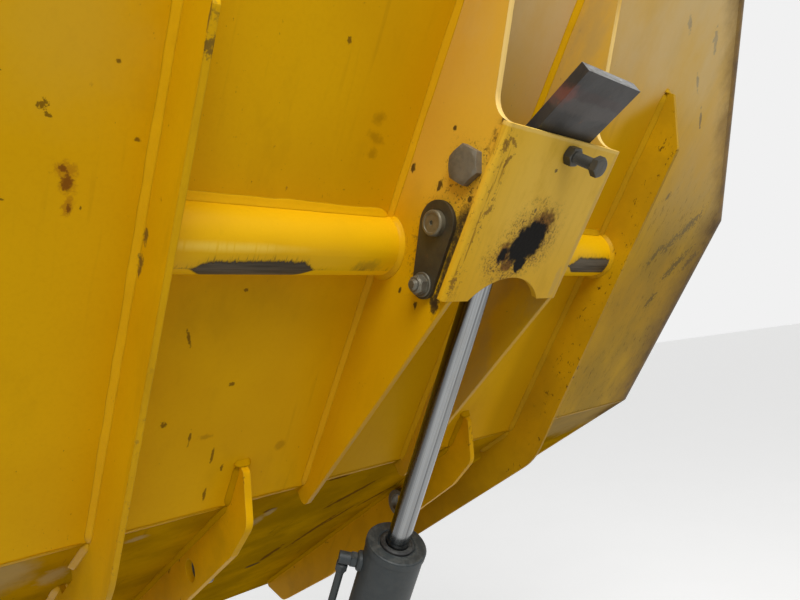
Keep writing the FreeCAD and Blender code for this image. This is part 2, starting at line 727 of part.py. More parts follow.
# Set screw and lock nut in the strike plate. The screw's tip bears on the lever.
set_tip = "(%s + (%s - %s + %s / 2) * tan(%s) + %s / cos(%s))" % (
    s("clamp_depth"), s("set_at"), s("clamp_at"), s("set_size"), s("lever_angle"), lever_out, s("lever_angle"))
head_low = "(%s + %s + %s)" % (s("bracket_depth"), s("set_proud"), s("set_head"))
screw = new_body("set_screw")
add_pad(screw, "set_shank", "XY_Plane", "-%s - %s" % (s("hinge_above"), head_low),
        "%s - %s" % (head_low, set_tip), circles=[(set_point, s("set_size"))])
add_pad(screw, "set_head_pad", "XY_Plane", "-%s - %s" % (s("hinge_above"), head_low), s("set_head"),
        loops=[hexagon(set_point, s("set_hex"))])
keep(tipped(screw))
lock = new_body("lock_nut")
add_pad(lock, "lock_nut_pad", "XY_Plane", "-%s - %s - %s" % (s("hinge_above"), s("bracket_depth"), s("set_nut")),
        s("set_nut"), loops=[hexagon(set_point, s("set_hex"), s("set_hex_turn"))],
        circles=[(set_point, "%s + 2 * %s" % (s("set_size"), s("running_gap")))])
keep(tipped(lock))

# Tipping ram, laid out along X from the pin in its rod's eye.
RAM = FreeCAD.Rotation(FreeCAD.Vector(0, 1, 0), val(s("ram_angle")))


def on_ram(obj, roll=0.0):
    turn = RAM.multiply(FreeCAD.Rotation(FreeCAD.Vector(1, 0, 0), roll))
    return tipped_at(obj, pin_point[0], "0", pin_point[1], turn)


centre = ("0", "0")
rod = new_body("ram_rod")
add_pad(rod, "rod_eye", "XZ_Plane", "-" + eye_half, s("eye_width"),
        circles=[(centre, s("eye_outer")), (centre, "%s + 2 * %s" % (s("pin_size"), s("running_gap")))])
rod_start = "(%s / 2 - %s)" % (s("eye_outer"), s("rod_root"))
rod_end = "(%s + %s)" % (s("rod_shown"), s("rod_inside"))
add_pad(rod, "rod_bar", "YZ_Plane", rod_start, "%s - %s" % (rod_end, rod_start), circles=[(centre, s("rod_size"))])
add_pad(rod, "rod_piston", "YZ_Plane", "%s - %s" % (rod_end, s("piston_long")), s("piston_long"),
        circles=[(centre, "%s - 2 * %s" % (s("barrel_bore"), s("running_gap")))])
keep(on_ram(rod))

# Gland: a flange and a spigot inside the barrel, bored for the rod.
gland = new_body("ram_gland")
rod_bore = "%s + 2 * %s" % (s("rod_size"), s("running_gap"))
barrel_start = "(%s + %s)" % (s("rod_shown"), s("gland_flange"))
add_pad(gland, "gland_ring", "YZ_Plane", s("rod_shown"), s("gland_flange"),
        circles=[(centre, s("gland_outer")), (centre, rod_bore)])
add_pad(gland, "gland_spigot", "YZ_Plane", barrel_start, s("spigot_long"),
        circles=[(centre, "%s - 2 * %s" % (s("barrel_bore"), s("seat_gap"))), (centre, rod_bore)])
keep(on_ram(gland))

barrel = new_body("ram_barrel")
barrel_end = "(%s + %s)" % (barrel_start, s("barrel_long"))
add_pad(barrel, "barrel_tube", "YZ_Plane", barrel_start, s("barrel_long"),
        circles=[(centre, s("barrel_outer")), (centre, s("barrel_bore"))])
keep(on_ram(barrel))

# Base closing the barrel, and the foot eye welded to it.
base = new_body("ram_base")
base_end = "(%s + %s)" % (barrel_end, s("barrel_base"))
add_pad(base, "base_disc", "YZ_Plane", barrel_end, s("barrel_base"), circles=[(centre, s("barrel_outer"))])
keep(on_ram(base))
foot = new_body("ram_foot")
foot_x = "(%s + %s)" % (base_end, s("foot_reach"))
add_pad(foot, "foot_eye", "XZ_Plane", "-%s / 2" % s("foot_width"), s("foot_width"),
        circles=[((foot_x, "0"), s("foot_outer")), ((foot_x, "0"), s("foot_bore"))])
neck_end = "%s - %s" % (foot_x, s("neck_short"))
add_pad(foot, "foot_neck", "XZ_Plane", "-%s / 2" % s("foot_width"), s("foot_width"), loops=[[
    (base_end, "-" + s("neck_half")),
    (neck_end, "-" + s("neck_half")),
    (neck_end, s("neck_half")),
    (base_end, s("neck_half")),
]])
keep(on_ram(foot))

# Feed pipe beside the barrel, between its two ports.
pipe = new_body("feed_pipe")
port_x = "(%s + %s)" % (barrel_start, s("port_at"))
base_port_x = "(%s - %s)" % (barrel_end, s("port_at"))
barrel_side = "%s / 2" % s("barrel_outer")
pipe_y = "(%s + %s)" % (barrel_side, s("port_long"))
port_end = "(%s + %s)" % (pipe_y, s("port_cap"))
for name, x in (("port_top", port_x), ("port_base", base_port_x)):
    add_pad(pipe, name, "XZ_Plane", "-" + port_end, "%s - %s" % (port_end, barrel_side),
            circles=[((x, "0"), s("port_outer"))])
add_pad(pipe, "pipe_run", "YZ_Plane", port_x, "%s - %s" % (base_port_x, port_x),
        circles=[((pipe_y, "0"), s("pipe_outer"))])
keep(on_ram(pipe, val(s("port_roll"))))

doc.recompute()
problems = []
for obj in doc.Objects:
    if "Invalid" in obj.State or "Error" in obj.State:
        problems.append(obj.Label)
for obj in nodes:
    shape = obj.Shape
    if shape.isNull() or not shape.isValid() or not shape.Solids:
        problems.append(obj.Label + " shape")
if problems:
    raise RuntimeError("These objects failed: " + ", ".join(problems))
os.makedirs("parts", exist_ok=True)
for obj in nodes:
    obj.Shape.exportStep("parts/%s.step" % obj.Label)
print("%d pieces" % len(nodes))
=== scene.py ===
import math
import random
import bmesh
import bpy
from mathutils import Matrix, Vector


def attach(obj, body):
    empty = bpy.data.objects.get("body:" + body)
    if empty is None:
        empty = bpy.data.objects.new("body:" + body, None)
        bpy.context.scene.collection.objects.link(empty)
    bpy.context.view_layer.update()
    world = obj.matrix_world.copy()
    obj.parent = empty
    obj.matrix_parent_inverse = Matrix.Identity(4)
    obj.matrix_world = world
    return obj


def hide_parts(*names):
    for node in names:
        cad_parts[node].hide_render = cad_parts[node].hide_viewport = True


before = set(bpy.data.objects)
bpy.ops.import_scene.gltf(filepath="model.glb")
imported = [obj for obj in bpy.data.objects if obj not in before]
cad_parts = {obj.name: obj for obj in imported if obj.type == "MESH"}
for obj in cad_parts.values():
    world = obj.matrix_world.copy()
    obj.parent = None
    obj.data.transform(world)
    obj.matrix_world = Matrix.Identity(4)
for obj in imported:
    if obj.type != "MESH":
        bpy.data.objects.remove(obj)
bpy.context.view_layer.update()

# Camera, close behind the skip on the machine's left, looking forward and a little up.
CAM_AT = Vector((-1.1341, 0.7193, 0.2888))
CAM_RIGHT = Vector((-0.6595, -0.7387, -0.1392)).normalized()
CAM_FORWARD = Vector((0.7297, -0.6736, 0.1172)).normalized()
FOCAL_PX = 625.0
IMAGE_WIDE = 800.0

camera_data = bpy.data.cameras.new("Camera")
camera = bpy.data.objects.new("Camera", camera_data)
bpy.context.scene.collection.objects.link(camera)
up = CAM_RIGHT.cross(CAM_FORWARD).normalized()
right = CAM_FORWARD.cross(up).normalized()
rotation = Matrix((right, up, -CAM_FORWARD)).transposed()
camera.matrix_world = Matrix.Translation(CAM_AT) @ rotation.to_4x4()
camera_data.sensor_fit = "HORIZONTAL"
camera_data.sensor_width = 36.0
camera_data.lens = FOCAL_PX * 36.0 / IMAGE_WIDE
camera_data.clip_start = 0.01
bpy.context.scene.camera = camera

# Sizes in millimetres, the same as the model's.
TIP_ANGLE = math.radians(51.0)
RAMP_ANGLE = math.radians(26.0)
RAM_ANGLE = math.radians(5.0)
HINGE_AHEAD = 203.0
HINGE_ABOVE = 56.0
SHEET = 6.0
FLOOR_LENGTH = 1160.0
HALF_WIDTH = 1035.0
CORNER_RUN = 580.0
RAMP_LENGTH = 1000.0
FLANGE = 40.0
RIB_IN = 458.0
RIB_THICK = 8.0
RIB_REAR = 800.0
RIB_FRONT = 640.0
SLOT_FROM = 112.0
SLOT_TO = 197.0
CHEEK_IN = 110.0
CHEEK_OUT = 120.0
CHEEK_REAR = 1070.0
PLATE_DEPTH = 155.0
PLATE_THICK = 10.0
PLATE_LOW = 449.0
PLATE_HIGH = 688.0
TUBE_AT = 461.0
TUBE_HALF = 44.0
TUBE_OUT = 47.0
LUG_IN = 250.0
LUG_THICK = 12.0
LUG_REAR = 86.0
LUG_FRONT = 950.0
PIN_AT = 535.0
PIN_DEPTH = 95.0
CLAMP_AT = 620.0
CLAMP_DEPTH = 107.5
STUD_AT = 451.0
STUD_DEPTH = 109.0
SET_AT = 668.0
SET_ASIDE = -9.0
SET_PROUD = 43.0
ROD_SHOWN = 578.0
BARREL_START = 588.0
BARREL_LONG = 640.0
BARREL_RADIUS = 52.5
PORT_ROLL = math.radians(39.0)
CLAMP_FLATS = 46.0
CLAMP_RADIUS = 15.0
SCREW_FLATS = 24.0
SCREW_RADIUS = 8.0
SET_TIP = 137.8
SPOT_THROUGH = 60.0
GROUND_REACH = 200.0
GROUND_HEIGHT = -1.2

# Light on the object, what the backdrop shows, and the lamp in watts.
SKY_LIGHT = 0.515
SKY_SHOWN = 0.88
LAMP_POWER = 162.0


# A point given in the level skip's frame, in millimetres, as a point of the scene.
def level(x, y, z):
    c, s = math.cos(TIP_ANGLE), math.sin(TIP_ANGLE)
    return Vector((x * c + z * s, y, z * c - x * s)) / 1000.0


def under(back, depth, y):
    return level(-HINGE_AHEAD - back, y, -HINGE_ABOVE - depth)


def under_ramp(along, depth, y):
    c, s = math.cos(RAMP_ANGLE), math.sin(RAMP_ANGLE)
    return level(-HINGE_AHEAD + along * c + depth * s, y, -HINGE_ABOVE + along * s - depth * c)


# A point given from the pin in the rod's eye: x down the ram, y to the machine's left.
def on_ram(x, y, z, roll=0.0):
    y, z = y * math.cos(roll) - z * math.sin(roll), y * math.sin(roll) + z * math.cos(roll)
    c, s = math.cos(RAM_ANGLE), math.sin(RAM_ANGLE)
    return level(-HINGE_AHEAD - PIN_AT + x * c + z * s, y, -HINGE_ABOVE - PIN_DEPTH + z * c - x * s)


BACK = (under(1, 0, 0) - under(0, 0, 0)).normalized()
DOWN = (under(0, 1, 0) - under(0, 0, 0)).normalized()
RAMP_ON = (under_ramp(1, 0, 0) - under_ramp(0, 0, 0)).normalized()
RAMP_DOWN = (under_ramp(0, 1, 0) - under_ramp(0, 0, 0)).normalized()
LEFT = Vector((0, 1, 0))
RAM_ON = (on_ram(1, 0, 0) - on_ram(0, 0, 0)).normalized()
RAM_UP = (on_ram(0, 0, 1) - on_ram(0, 0, 0)).normalized()

pieces = {}


def add_piece(name, points, faces, body, sharp):
    mesh = bpy.data.meshes.new(name)
    mesh.from_pydata([tuple(p) for p in points], [], faces)
    work = bmesh.new()
    work.from_mesh(mesh)
    bmesh.ops.remove_doubles(work, verts=work.verts, dist=0.000001)
    bmesh.ops.recalc_face_normals(work, faces=work.faces)
    work.to_mesh(mesh)
    work.free()
    piece = bpy.data.objects.new(name, mesh)
    bpy.context.scene.collection.objects.link(piece)
    for polygon in mesh.polygons:
        polygon.use_smooth = True
    mesh.set_sharp_from_angle(angle=math.radians(sharp))
    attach(piece, body)
    pieces[name] = piece
    return piece


# Even steps along a run of points, no longer than the given step in metres.
def steps_along(points, step):
    out = []
    for a, b in zip(points, points[1:]):
        count = max(1, int(math.ceil((b - a).length / step)))
        for i in range(count):
            out.append(a.lerp(b, i / count))
    out.append(points[-1])
    return out


# Slow random swell between -1 and 1 along a weld.
def swells(count, seed, every=4):
    rng = random.Random(seed)
    knots = [rng.uniform(-1, 1) for _ in range(count // every + 3)]
    out = []
    for i in range(count):
        k, f = divmod(i / every, 1.0)
        f = f * f * (3 - 2 * f)
        out.append(knots[int(k)] * (1 - f) + knots[int(k) + 1] * f)
    return out


weld_points = {}
weld_faces = {}


# A fillet weld in the corner between two surfaces. Each leg's vector lies on its surface.
def fillet(group, points, leg_a, leg_b, leg=7.0, seed=0, step=0.007):
    if not isinstance(leg_a, list):
        points = steps_along(points, step)
        leg_a = [leg_a] * len(points)
        leg_b = [leg_b] * len(points)
    store = weld_points.setdefault(group, [])
    faces = weld_faces.setdefault(group, [])
    size_a = swells(len(points), seed * 7 + 1)
    size_b = swells(len(points), seed * 7 + 2)
    hump = swells(len(points), seed * 7 + 3, 1)
    first = len(store)
    profile = [(1.0, -0.02), (0.86, 0.10), (0.60, 0.31), (0.31, 0.60), (0.10, 0.86), (-0.02, 1.0)]
    rows = len(profile) + 1
    for i, point in enumerate(points):
        end = min(i, len(points) - 1 - i)
        fade = 0.35 if end == 0 else 0.8 if end == 1 else 1.0
        a = leg_a[i] * (leg * fade * (1 + 0.10 * size_a[i]) / 1000)
        b = leg_b[i] * (leg * fade * (1 + 0.10 * size_b[i]) / 1000)
        swell = 1 + 0.05 * hump[i]
        store.append(point - a * 0.04 - b * 0.04)
        for u, v in profile:
            bend = swell if 0.2 < u < 0.8 else 1.0
            store.append(point + a * u * bend + b * v * bend)
    for i in range(len(points) - 1):
        for j in range(rows):
            k = (j + 1) % rows
            faces.append((first + i * rows + j, first + i * rows + k,
                          first + (i + 1) * rows + k, first + (i + 1) * rows + j))
    faces.append(tuple(first + j for j in range(rows)))
    last = first + (len(points) - 1) * rows
    faces.append(tuple(last + j for j in reversed(range(rows))))


for sign, side in ((1, "left"), (-1, "right")):
    seed = 10 if sign > 0 else 60
    out = LEFT * sign
    for face, away, extra in ((RIB_IN, -out, 0), (RIB_IN + RIB_THICK, out, 1)):
        y = face * sign
        fillet("rib_welds_" + side, [under(RIB_REAR - 4, 0, y), under(0, 0, y)], away, DOWN, 8.5,
               seed + extra)
        fillet("rib_welds_" + side, [under_ramp(2, 0, y), under_ramp(SLOT_FROM - 2, 0, y)], away, RAMP_DOWN,
               8.0, seed + 2 + extra)
        fillet("rib_welds_" + side, [under_ramp(SLOT_TO + 2, 0, y), under_ramp(RIB_FRONT - 2, 0, y)], away,
               RAMP_DOWN, 8.0, seed + 4 + extra)
    for face, away, extra in ((CHEEK_IN, -out, 0), (CHEEK_OUT, out, 1)):
        y = face * sign
        fillet("cheek_welds_" + side, [under(CHEEK_REAR - 3, 0, y), under(2, 0, y)], away, DOWN, 7.5,
               seed + 6 + extra)
    for face, away, extra in ((LUG_IN, -out, 0), (LUG_IN + LUG_THICK, out, 1)):
        y = face * sign
        fillet("lug_welds_" + side, [under(LUG_REAR - 3, 0, y), under(1, 0, y)], away, DOWN, 7.5,
               seed + 8 + extra)
        fillet("lug_welds_" + side, [under_ramp(2, 0, y), under_ramp(LUG_FRONT - 3, 0, y)], away,
               RAMP_DOWN, 7.5,
               seed + 10 + extra)
    fillet("lug_welds_" + side, [under(LUG_REAR - 1, 0, sign * (LUG_IN - 8)),
                                 under(LUG_REAR - 1, 0, sign * (LUG_IN + LUG_THICK + 8))], BACK, DOWN, 9.0,
           seed + 18, 0.003)
    fillet("rib_welds_" + side, [under(RIB_REAR - 1, 0, sign * (RIB_IN - 5)),
                                 under(RIB_REAR - 1, 0, sign * (RIB_IN + RIB_THICK + 5))], BACK, DOWN, 8.0,
           seed + 19, 0.003)
    for edge, away, extra in ((TUBE_AT - TUBE_HALF, -BACK, 0), (TUBE_AT + TUBE_HALF, BACK * 2.0, 1)):
        fillet("tube_welds_" + side,
               [under(edge, 0, sign * (CHEEK_OUT + 6)), under(edge, 0, sign * (RIB_IN - 6))], away,
               DOWN * 1.3, 5.5,
               seed + 12 + extra)
    arc = []
    spokes = []
    for i in range(25):
        turn = math.pi * i / 24
        arc.append((TUBE_AT - (TUBE_HALF - 0.5) * math.cos(turn), 3 + (TUBE_OUT - 3.5) * math.sin(turn)))
        spokes.append((-BACK * math.cos(turn) + DOWN * math.sin(turn)).normalized())
    for face, along, extra, size in ((CHEEK_OUT, out, 0, 7.5), (RIB_IN, -out, 1, 7.0)):
        fillet("tube_welds_" + side, [under(b, d, sign * face) for b, d in arc], [along] * len(arc), spokes,
               size, seed + 14 + extra)
    fillet("plate_welds_" + side, [under(PLATE_HIGH - 2, PLATE_DEPTH - PLATE_THICK, sign * CHEEK_OUT),
                                   under(PLATE_LOW + 2, PLATE_DEPTH - PLATE_THICK, sign * CHEEK_OUT)],
           out, -DOWN, 6.0, seed + 16)

# The fold's bead, between the plates that stand on it.
stops = [-(HALF_WIDTH - FLANGE), -RIB_IN - 14, -RIB_IN + 6, -LUG_IN - 18, -LUG_IN + 6, -CHEEK_OUT - 6,
         -CHEEK_IN + 6, CHEEK_IN - 6, CHEEK_OUT + 6, LUG_IN - 6, LUG_IN + 18, RIB_IN - 6, RIB_IN + 14,
         HALF_WIDTH - FLANGE]
for i in range(0, len(stops), 2):
    fillet("fold_bead", [under(0, -1.0, stops[i]), under(0, -1.0, stops[i + 1])],
           (BACK * 0.9 + DOWN * 0.45).normalized(), (RAMP_ON * 0.9 + RAMP_DOWN * 0.45).normalized(), 4.0,
           90 + i)

for group in weld_points:
    add_piece(group, weld_points[group], weld_faces[group], "skip", 50)


# A turned shape about an axis: rows of (distance along, radius), closed at both ends.
def turned(points, faces, origin, axis, across, rows, sides=48):
    other = axis.cross(across).normalized()
    first = len(points)
    for along, radius in rows:
        for k in range(sides):
            turn = 2 * math.pi * k / sides
            spoke = across * math.cos(turn) + other * math.sin(turn)
            points.append(origin + (axis * along + spoke * radius) / 1000)
    for i in range(len(rows) - 1):
        for k in range(sides):
            n = (k + 1) % sides
            faces.append((first + i * sides + k, first + i * sides + n,
                          first + (i + 1) * sides + n, first + (i + 1) * sides + k))
    faces.append(tuple(first + k for k in reversed(range(sides))))
    last = first + (len(rows) - 1) * sides
    faces.append(tuple(last + k for k in range(sides)))


# A hexagon with chamfered corners, from one distance along the axis to another.
def hexagonal(points, faces, origin, axis, across, low, high, flats, turn=0.0, both=False, top=0.93):
    other = axis.cross(across).normalized()
    sides = 72
    half = flats / 2
    first = len(points)

    def ring(kind):
        for k in range(sides):
            angle = 2 * math.pi * k / sides
            local = (angle % (math.pi / 3)) - math.pi / 6
            corner = half / math.cos(local)
            drop = (corner - half) * math.tan(math.radians(30)) + 0.4
            if kind == "low":
                radius, along = corner, (low + drop if both else low)
            elif kind == "high":
                radius, along = corner, high - drop
            elif kind == "low_face":
                radius, along = half * top, low
            else:
                radius, along = half * top, high
            t = angle + turn
            spoke = across * math.cos(t) + other * math.sin(t)
            points.append(origin + (axis * along + spoke * radius) / 1000)

    kinds = (["low_face"] if both else []) + ["low", "high", "top"]
    for kind in kinds:
        ring(kind)
    for i in range(len(kinds) - 1):
        for k in range(sides):
            n = (k + 1) % sides
            faces.append((first + i * sides + k, first + i * sides + n,
                          first + (i + 1) * sides + n, first + (i + 1) * sides + k))
    faces.append(tuple(first + k for k in reversed(range(sides))))
    last = first + (len(kinds) - 1) * sides
    faces.append(tuple(last + k for k in range(sides)))


# Rows of a threaded bar between two distances along, with a chamfered tip at the far end.
def thread_rows(low, high, radius, pitch, depth):
    rows = [(low, radius)]
    count = int((high - low - 2 * depth) / pitch)
    for i in range(count):
        a = low + i * pitch
        rows += [(a + pitch * 0.10, radius), (a + pitch * 0.5, radius - depth), (a + pitch * 0.9, radius)]
    rows += [(high - 1.5, radius - depth), (high, radius - depth - 1.5)]
    return rows


# Clamp bolt: a large chamfered head on the left cheek, with a nut on the right.
points, faces = [], []
at = under(CLAMP_AT, CLAMP_DEPTH, 0)
hexagonal(points, faces, at, LEFT, BACK, CHEEK_OUT, CHEEK_OUT + 12, CLAMP_FLATS, math.radians(-33), False,
          0.9)
turned(points, faces, at, LEFT, BACK, [
    (-CHEEK_OUT - 29, 13), (-CHEEK_OUT - 27.5, CLAMP_RADIUS), (CHEEK_OUT, CLAMP_RADIUS)])
bolt = add_piece("clamp_bolt_detail", points, faces, "skip", 18)
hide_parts("clamp_bolt")
points, faces = [], []
hexagonal(points, faces, at, -LEFT, BACK, CHEEK_OUT, CHEEK_OUT + 24, CLAMP_FLATS, math.radians(33), False,
          0.92)
nut = add_piece("clamp_nut_detail", points, faces, "skip", 18)
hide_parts("clamp_nut")

# Bracket pin: a chamfered end with a centre hole and a turned step round it.
points, faces = [], []
at = under(PIN_AT, PIN_DEPTH, 0)
end = CHEEK_OUT + 16
turned(points, faces, at, LEFT, BACK, [
    (-CHEEK_OUT - 8, 16), (-CHEEK_OUT - 6.5, 17.5), (end - 2.5, 17.5), (end - 0.6, 16.6), (end, 15.4),
    (end, 13.2), (end - 0.8, 12.8), (end - 0.8, 5.0), (end - 0.8, 3.2), (end - 3.8, 2.6), (end - 3.8, 0.4)])
pin = add_piece("bracket_pin_detail", points, faces, "skip", 25)
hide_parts("bracket_pin")

# The flag plate's stud with its washer, flanged nut and threaded end.
points, faces = [], []
at = under(STUD_AT, STUD_DEPTH, 0)
turned(points, faces, at, LEFT, BACK, thread_rows(CHEEK_OUT + 5, CHEEK_OUT + 27, SCREW_RADIUS, 2, 0.9), 40)
turned(points, faces, at, LEFT, BACK, [
    (CHEEK_OUT + 6, 16.6), (CHEEK_OUT + 6.4, 17), (CHEEK_OUT + 8.4, 17), (CHEEK_OUT + 9, 16.4),
    (CHEEK_OUT + 9, 8.0)])
hexagonal(points, faces, at, LEFT, BACK, CHEEK_OUT + 9, CHEEK_OUT + 19.5, SCREW_FLATS, math.radians(15),
          False, 0.96)
turned(points, faces, at, LEFT, BACK, [
    (CHEEK_OUT + 19, 11.2), (CHEEK_OUT + 21, 11.0), (CHEEK_OUT + 22, 10.0), (CHEEK_OUT + 22, 8.1)])
stud = add_piece("flag_stud_detail", points, faces, "skip", 20)
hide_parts("flag_stud")

# Set screw and lock nut in the strike plate.
points, faces = [], []
at = under(SET_AT, 0, SET_ASIDE)
rows = thread_rows(0, PLATE_DEPTH + SET_PROUD - SET_TIP, SCREW_RADIUS, 2.0, 0.8)
turned(points, faces, at, -DOWN, LEFT, [(-(PLATE_DEPTH + SET_PROUD) + a, r) for a, r in rows], 40)
head_from, head_to = PLATE_DEPTH + SET_PROUD, PLATE_DEPTH + SET_PROUD + 10
hexagonal(points, faces, at, DOWN, LEFT, head_from, head_to, SCREW_FLATS, math.radians(24), False, 0.9)
screw = add_piece("set_screw_detail", points, faces, "skip", 20)
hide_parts("set_screw")
points, faces = [], []
hexagonal(points, faces, at, DOWN, LEFT, PLATE_DEPTH, PLATE_DEPTH + 13, SCREW_FLATS, math.radians(8), True,
          0.95)
lock = add_piece("lock_nut_detail", points, faces, "skip", 20)
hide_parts("lock_nut")


# Ring about the ram's axis, in rows of (distance along, radius), open in the middle.
def ring_piece(name, rows, body, sides=72, sharp=30):
    points, faces = [], []
    count = len(rows)
    for along, radius in rows:
        for k in range(sides):
            turn = 2 * math.pi * k / sides
            points.append(on_ram(along, radius * math.cos(turn), radius * math.sin(turn)))
    for i in range(count):
        j = (i + 1) % count
        for k in range(sides):
            n = (k + 1) % sides
            faces.append((i * sides + k, i * sides + n, j * sides + n, j * sides + k))
    return add_piece(name, points, faces, body, sharp)


# Gland face: a raised collar, and the rod's black wiper seal inside it.
ring_piece("gland_collar", [
    (ROD_SHOWN + 0.5, 53.5), (ROD_SHOWN - 2.0, 52.6), (ROD_SHOWN - 3.0, 51.0), (ROD_SHOWN - 3.0, 34.0),
    (ROD_SHOWN - 1.0, 32.0), (ROD_SHOWN + 1.5, 31.5), (ROD_SHOWN + 1.5, 53.5)], "barrel")
ring_piece("wiper_seal", [
    (ROD_SHOWN + 1.0, 31.0), (ROD_SHOWN - 3.5, 30.0), (ROD_SHOWN - 5.5, 27.0), (ROD_SHOWN - 5.0, 22.5),
    (ROD_SHOWN - 3.0, 20.4), (ROD_SHOWN + 1.0, 20.3)], "barrel")
# Dark groove between the gland and the barrel.
ring_piece("gland_groove", [
    (ROD_SHOWN + 7.2, 51.6), (ROD_SHOWN + 7.4, 52.0), (ROD_SHOWN + 9.6, 52.0), (ROD_SHOWN + 9.8, 51.6),
    (ROD_SHOWN + 9.8, 46.0), (ROD_SHOWN + 7.2, 46.0)], "barrel")
# Base weld round the barrel's foot.
ring_piece("base_weld", [
    (BARREL_START + BARREL_LONG - 7, 52.4), (BARREL_START + BARREL_LONG - 4, 54.2),
    (BARREL_START + BARREL_LONG + 1, 55.0), (BARREL_START + BARREL_LONG + 6, 54.0),
    (BARREL_START + BARREL_LONG + 9, 52.4), (BARREL_START + BARREL_LONG + 1, 51.5)], "barrel")

# Port bosses and union nuts of the feed pipe.
points, faces = [], []
for along in (BARREL_START + 40, BARREL_START + BARREL_LONG - 40):
    origin = on_ram(along, 0, 0)
    out = (on_ram(along, 1, 0, PORT_ROLL) - origin).normalized()
    turned(points, faces, origin, out, RAM_ON, [(50, 17.5), (56, 17.5), (58.5, 16.0), (59.5, 14.0),
                                                (60, 11.0)], 48)
    hexagonal(points, faces, origin, out, RAM_ON, 60, 71, 24, 0.3, True, 0.95)
add_piece("port_bosses", points, faces, "barrel", 25)
points, faces = [], []
for along, sense in ((BARREL_START + 51, 1), (BARREL_START + BARREL_LONG - 51, -1)):
    origin = on_ram(along, 82.5, 0, PORT_ROLL)
    hexagonal(points, faces, origin, RAM_ON * sense, LEFT, 0, 14, 20, 0.2, True, 0.95)
    turned(points, faces, origin, RAM_ON * sense, LEFT, [(13, 9.2), (18, 8.8), (20, 7.2)], 36)
add_piece("union_nuts", points, faces, "barrel", 25)


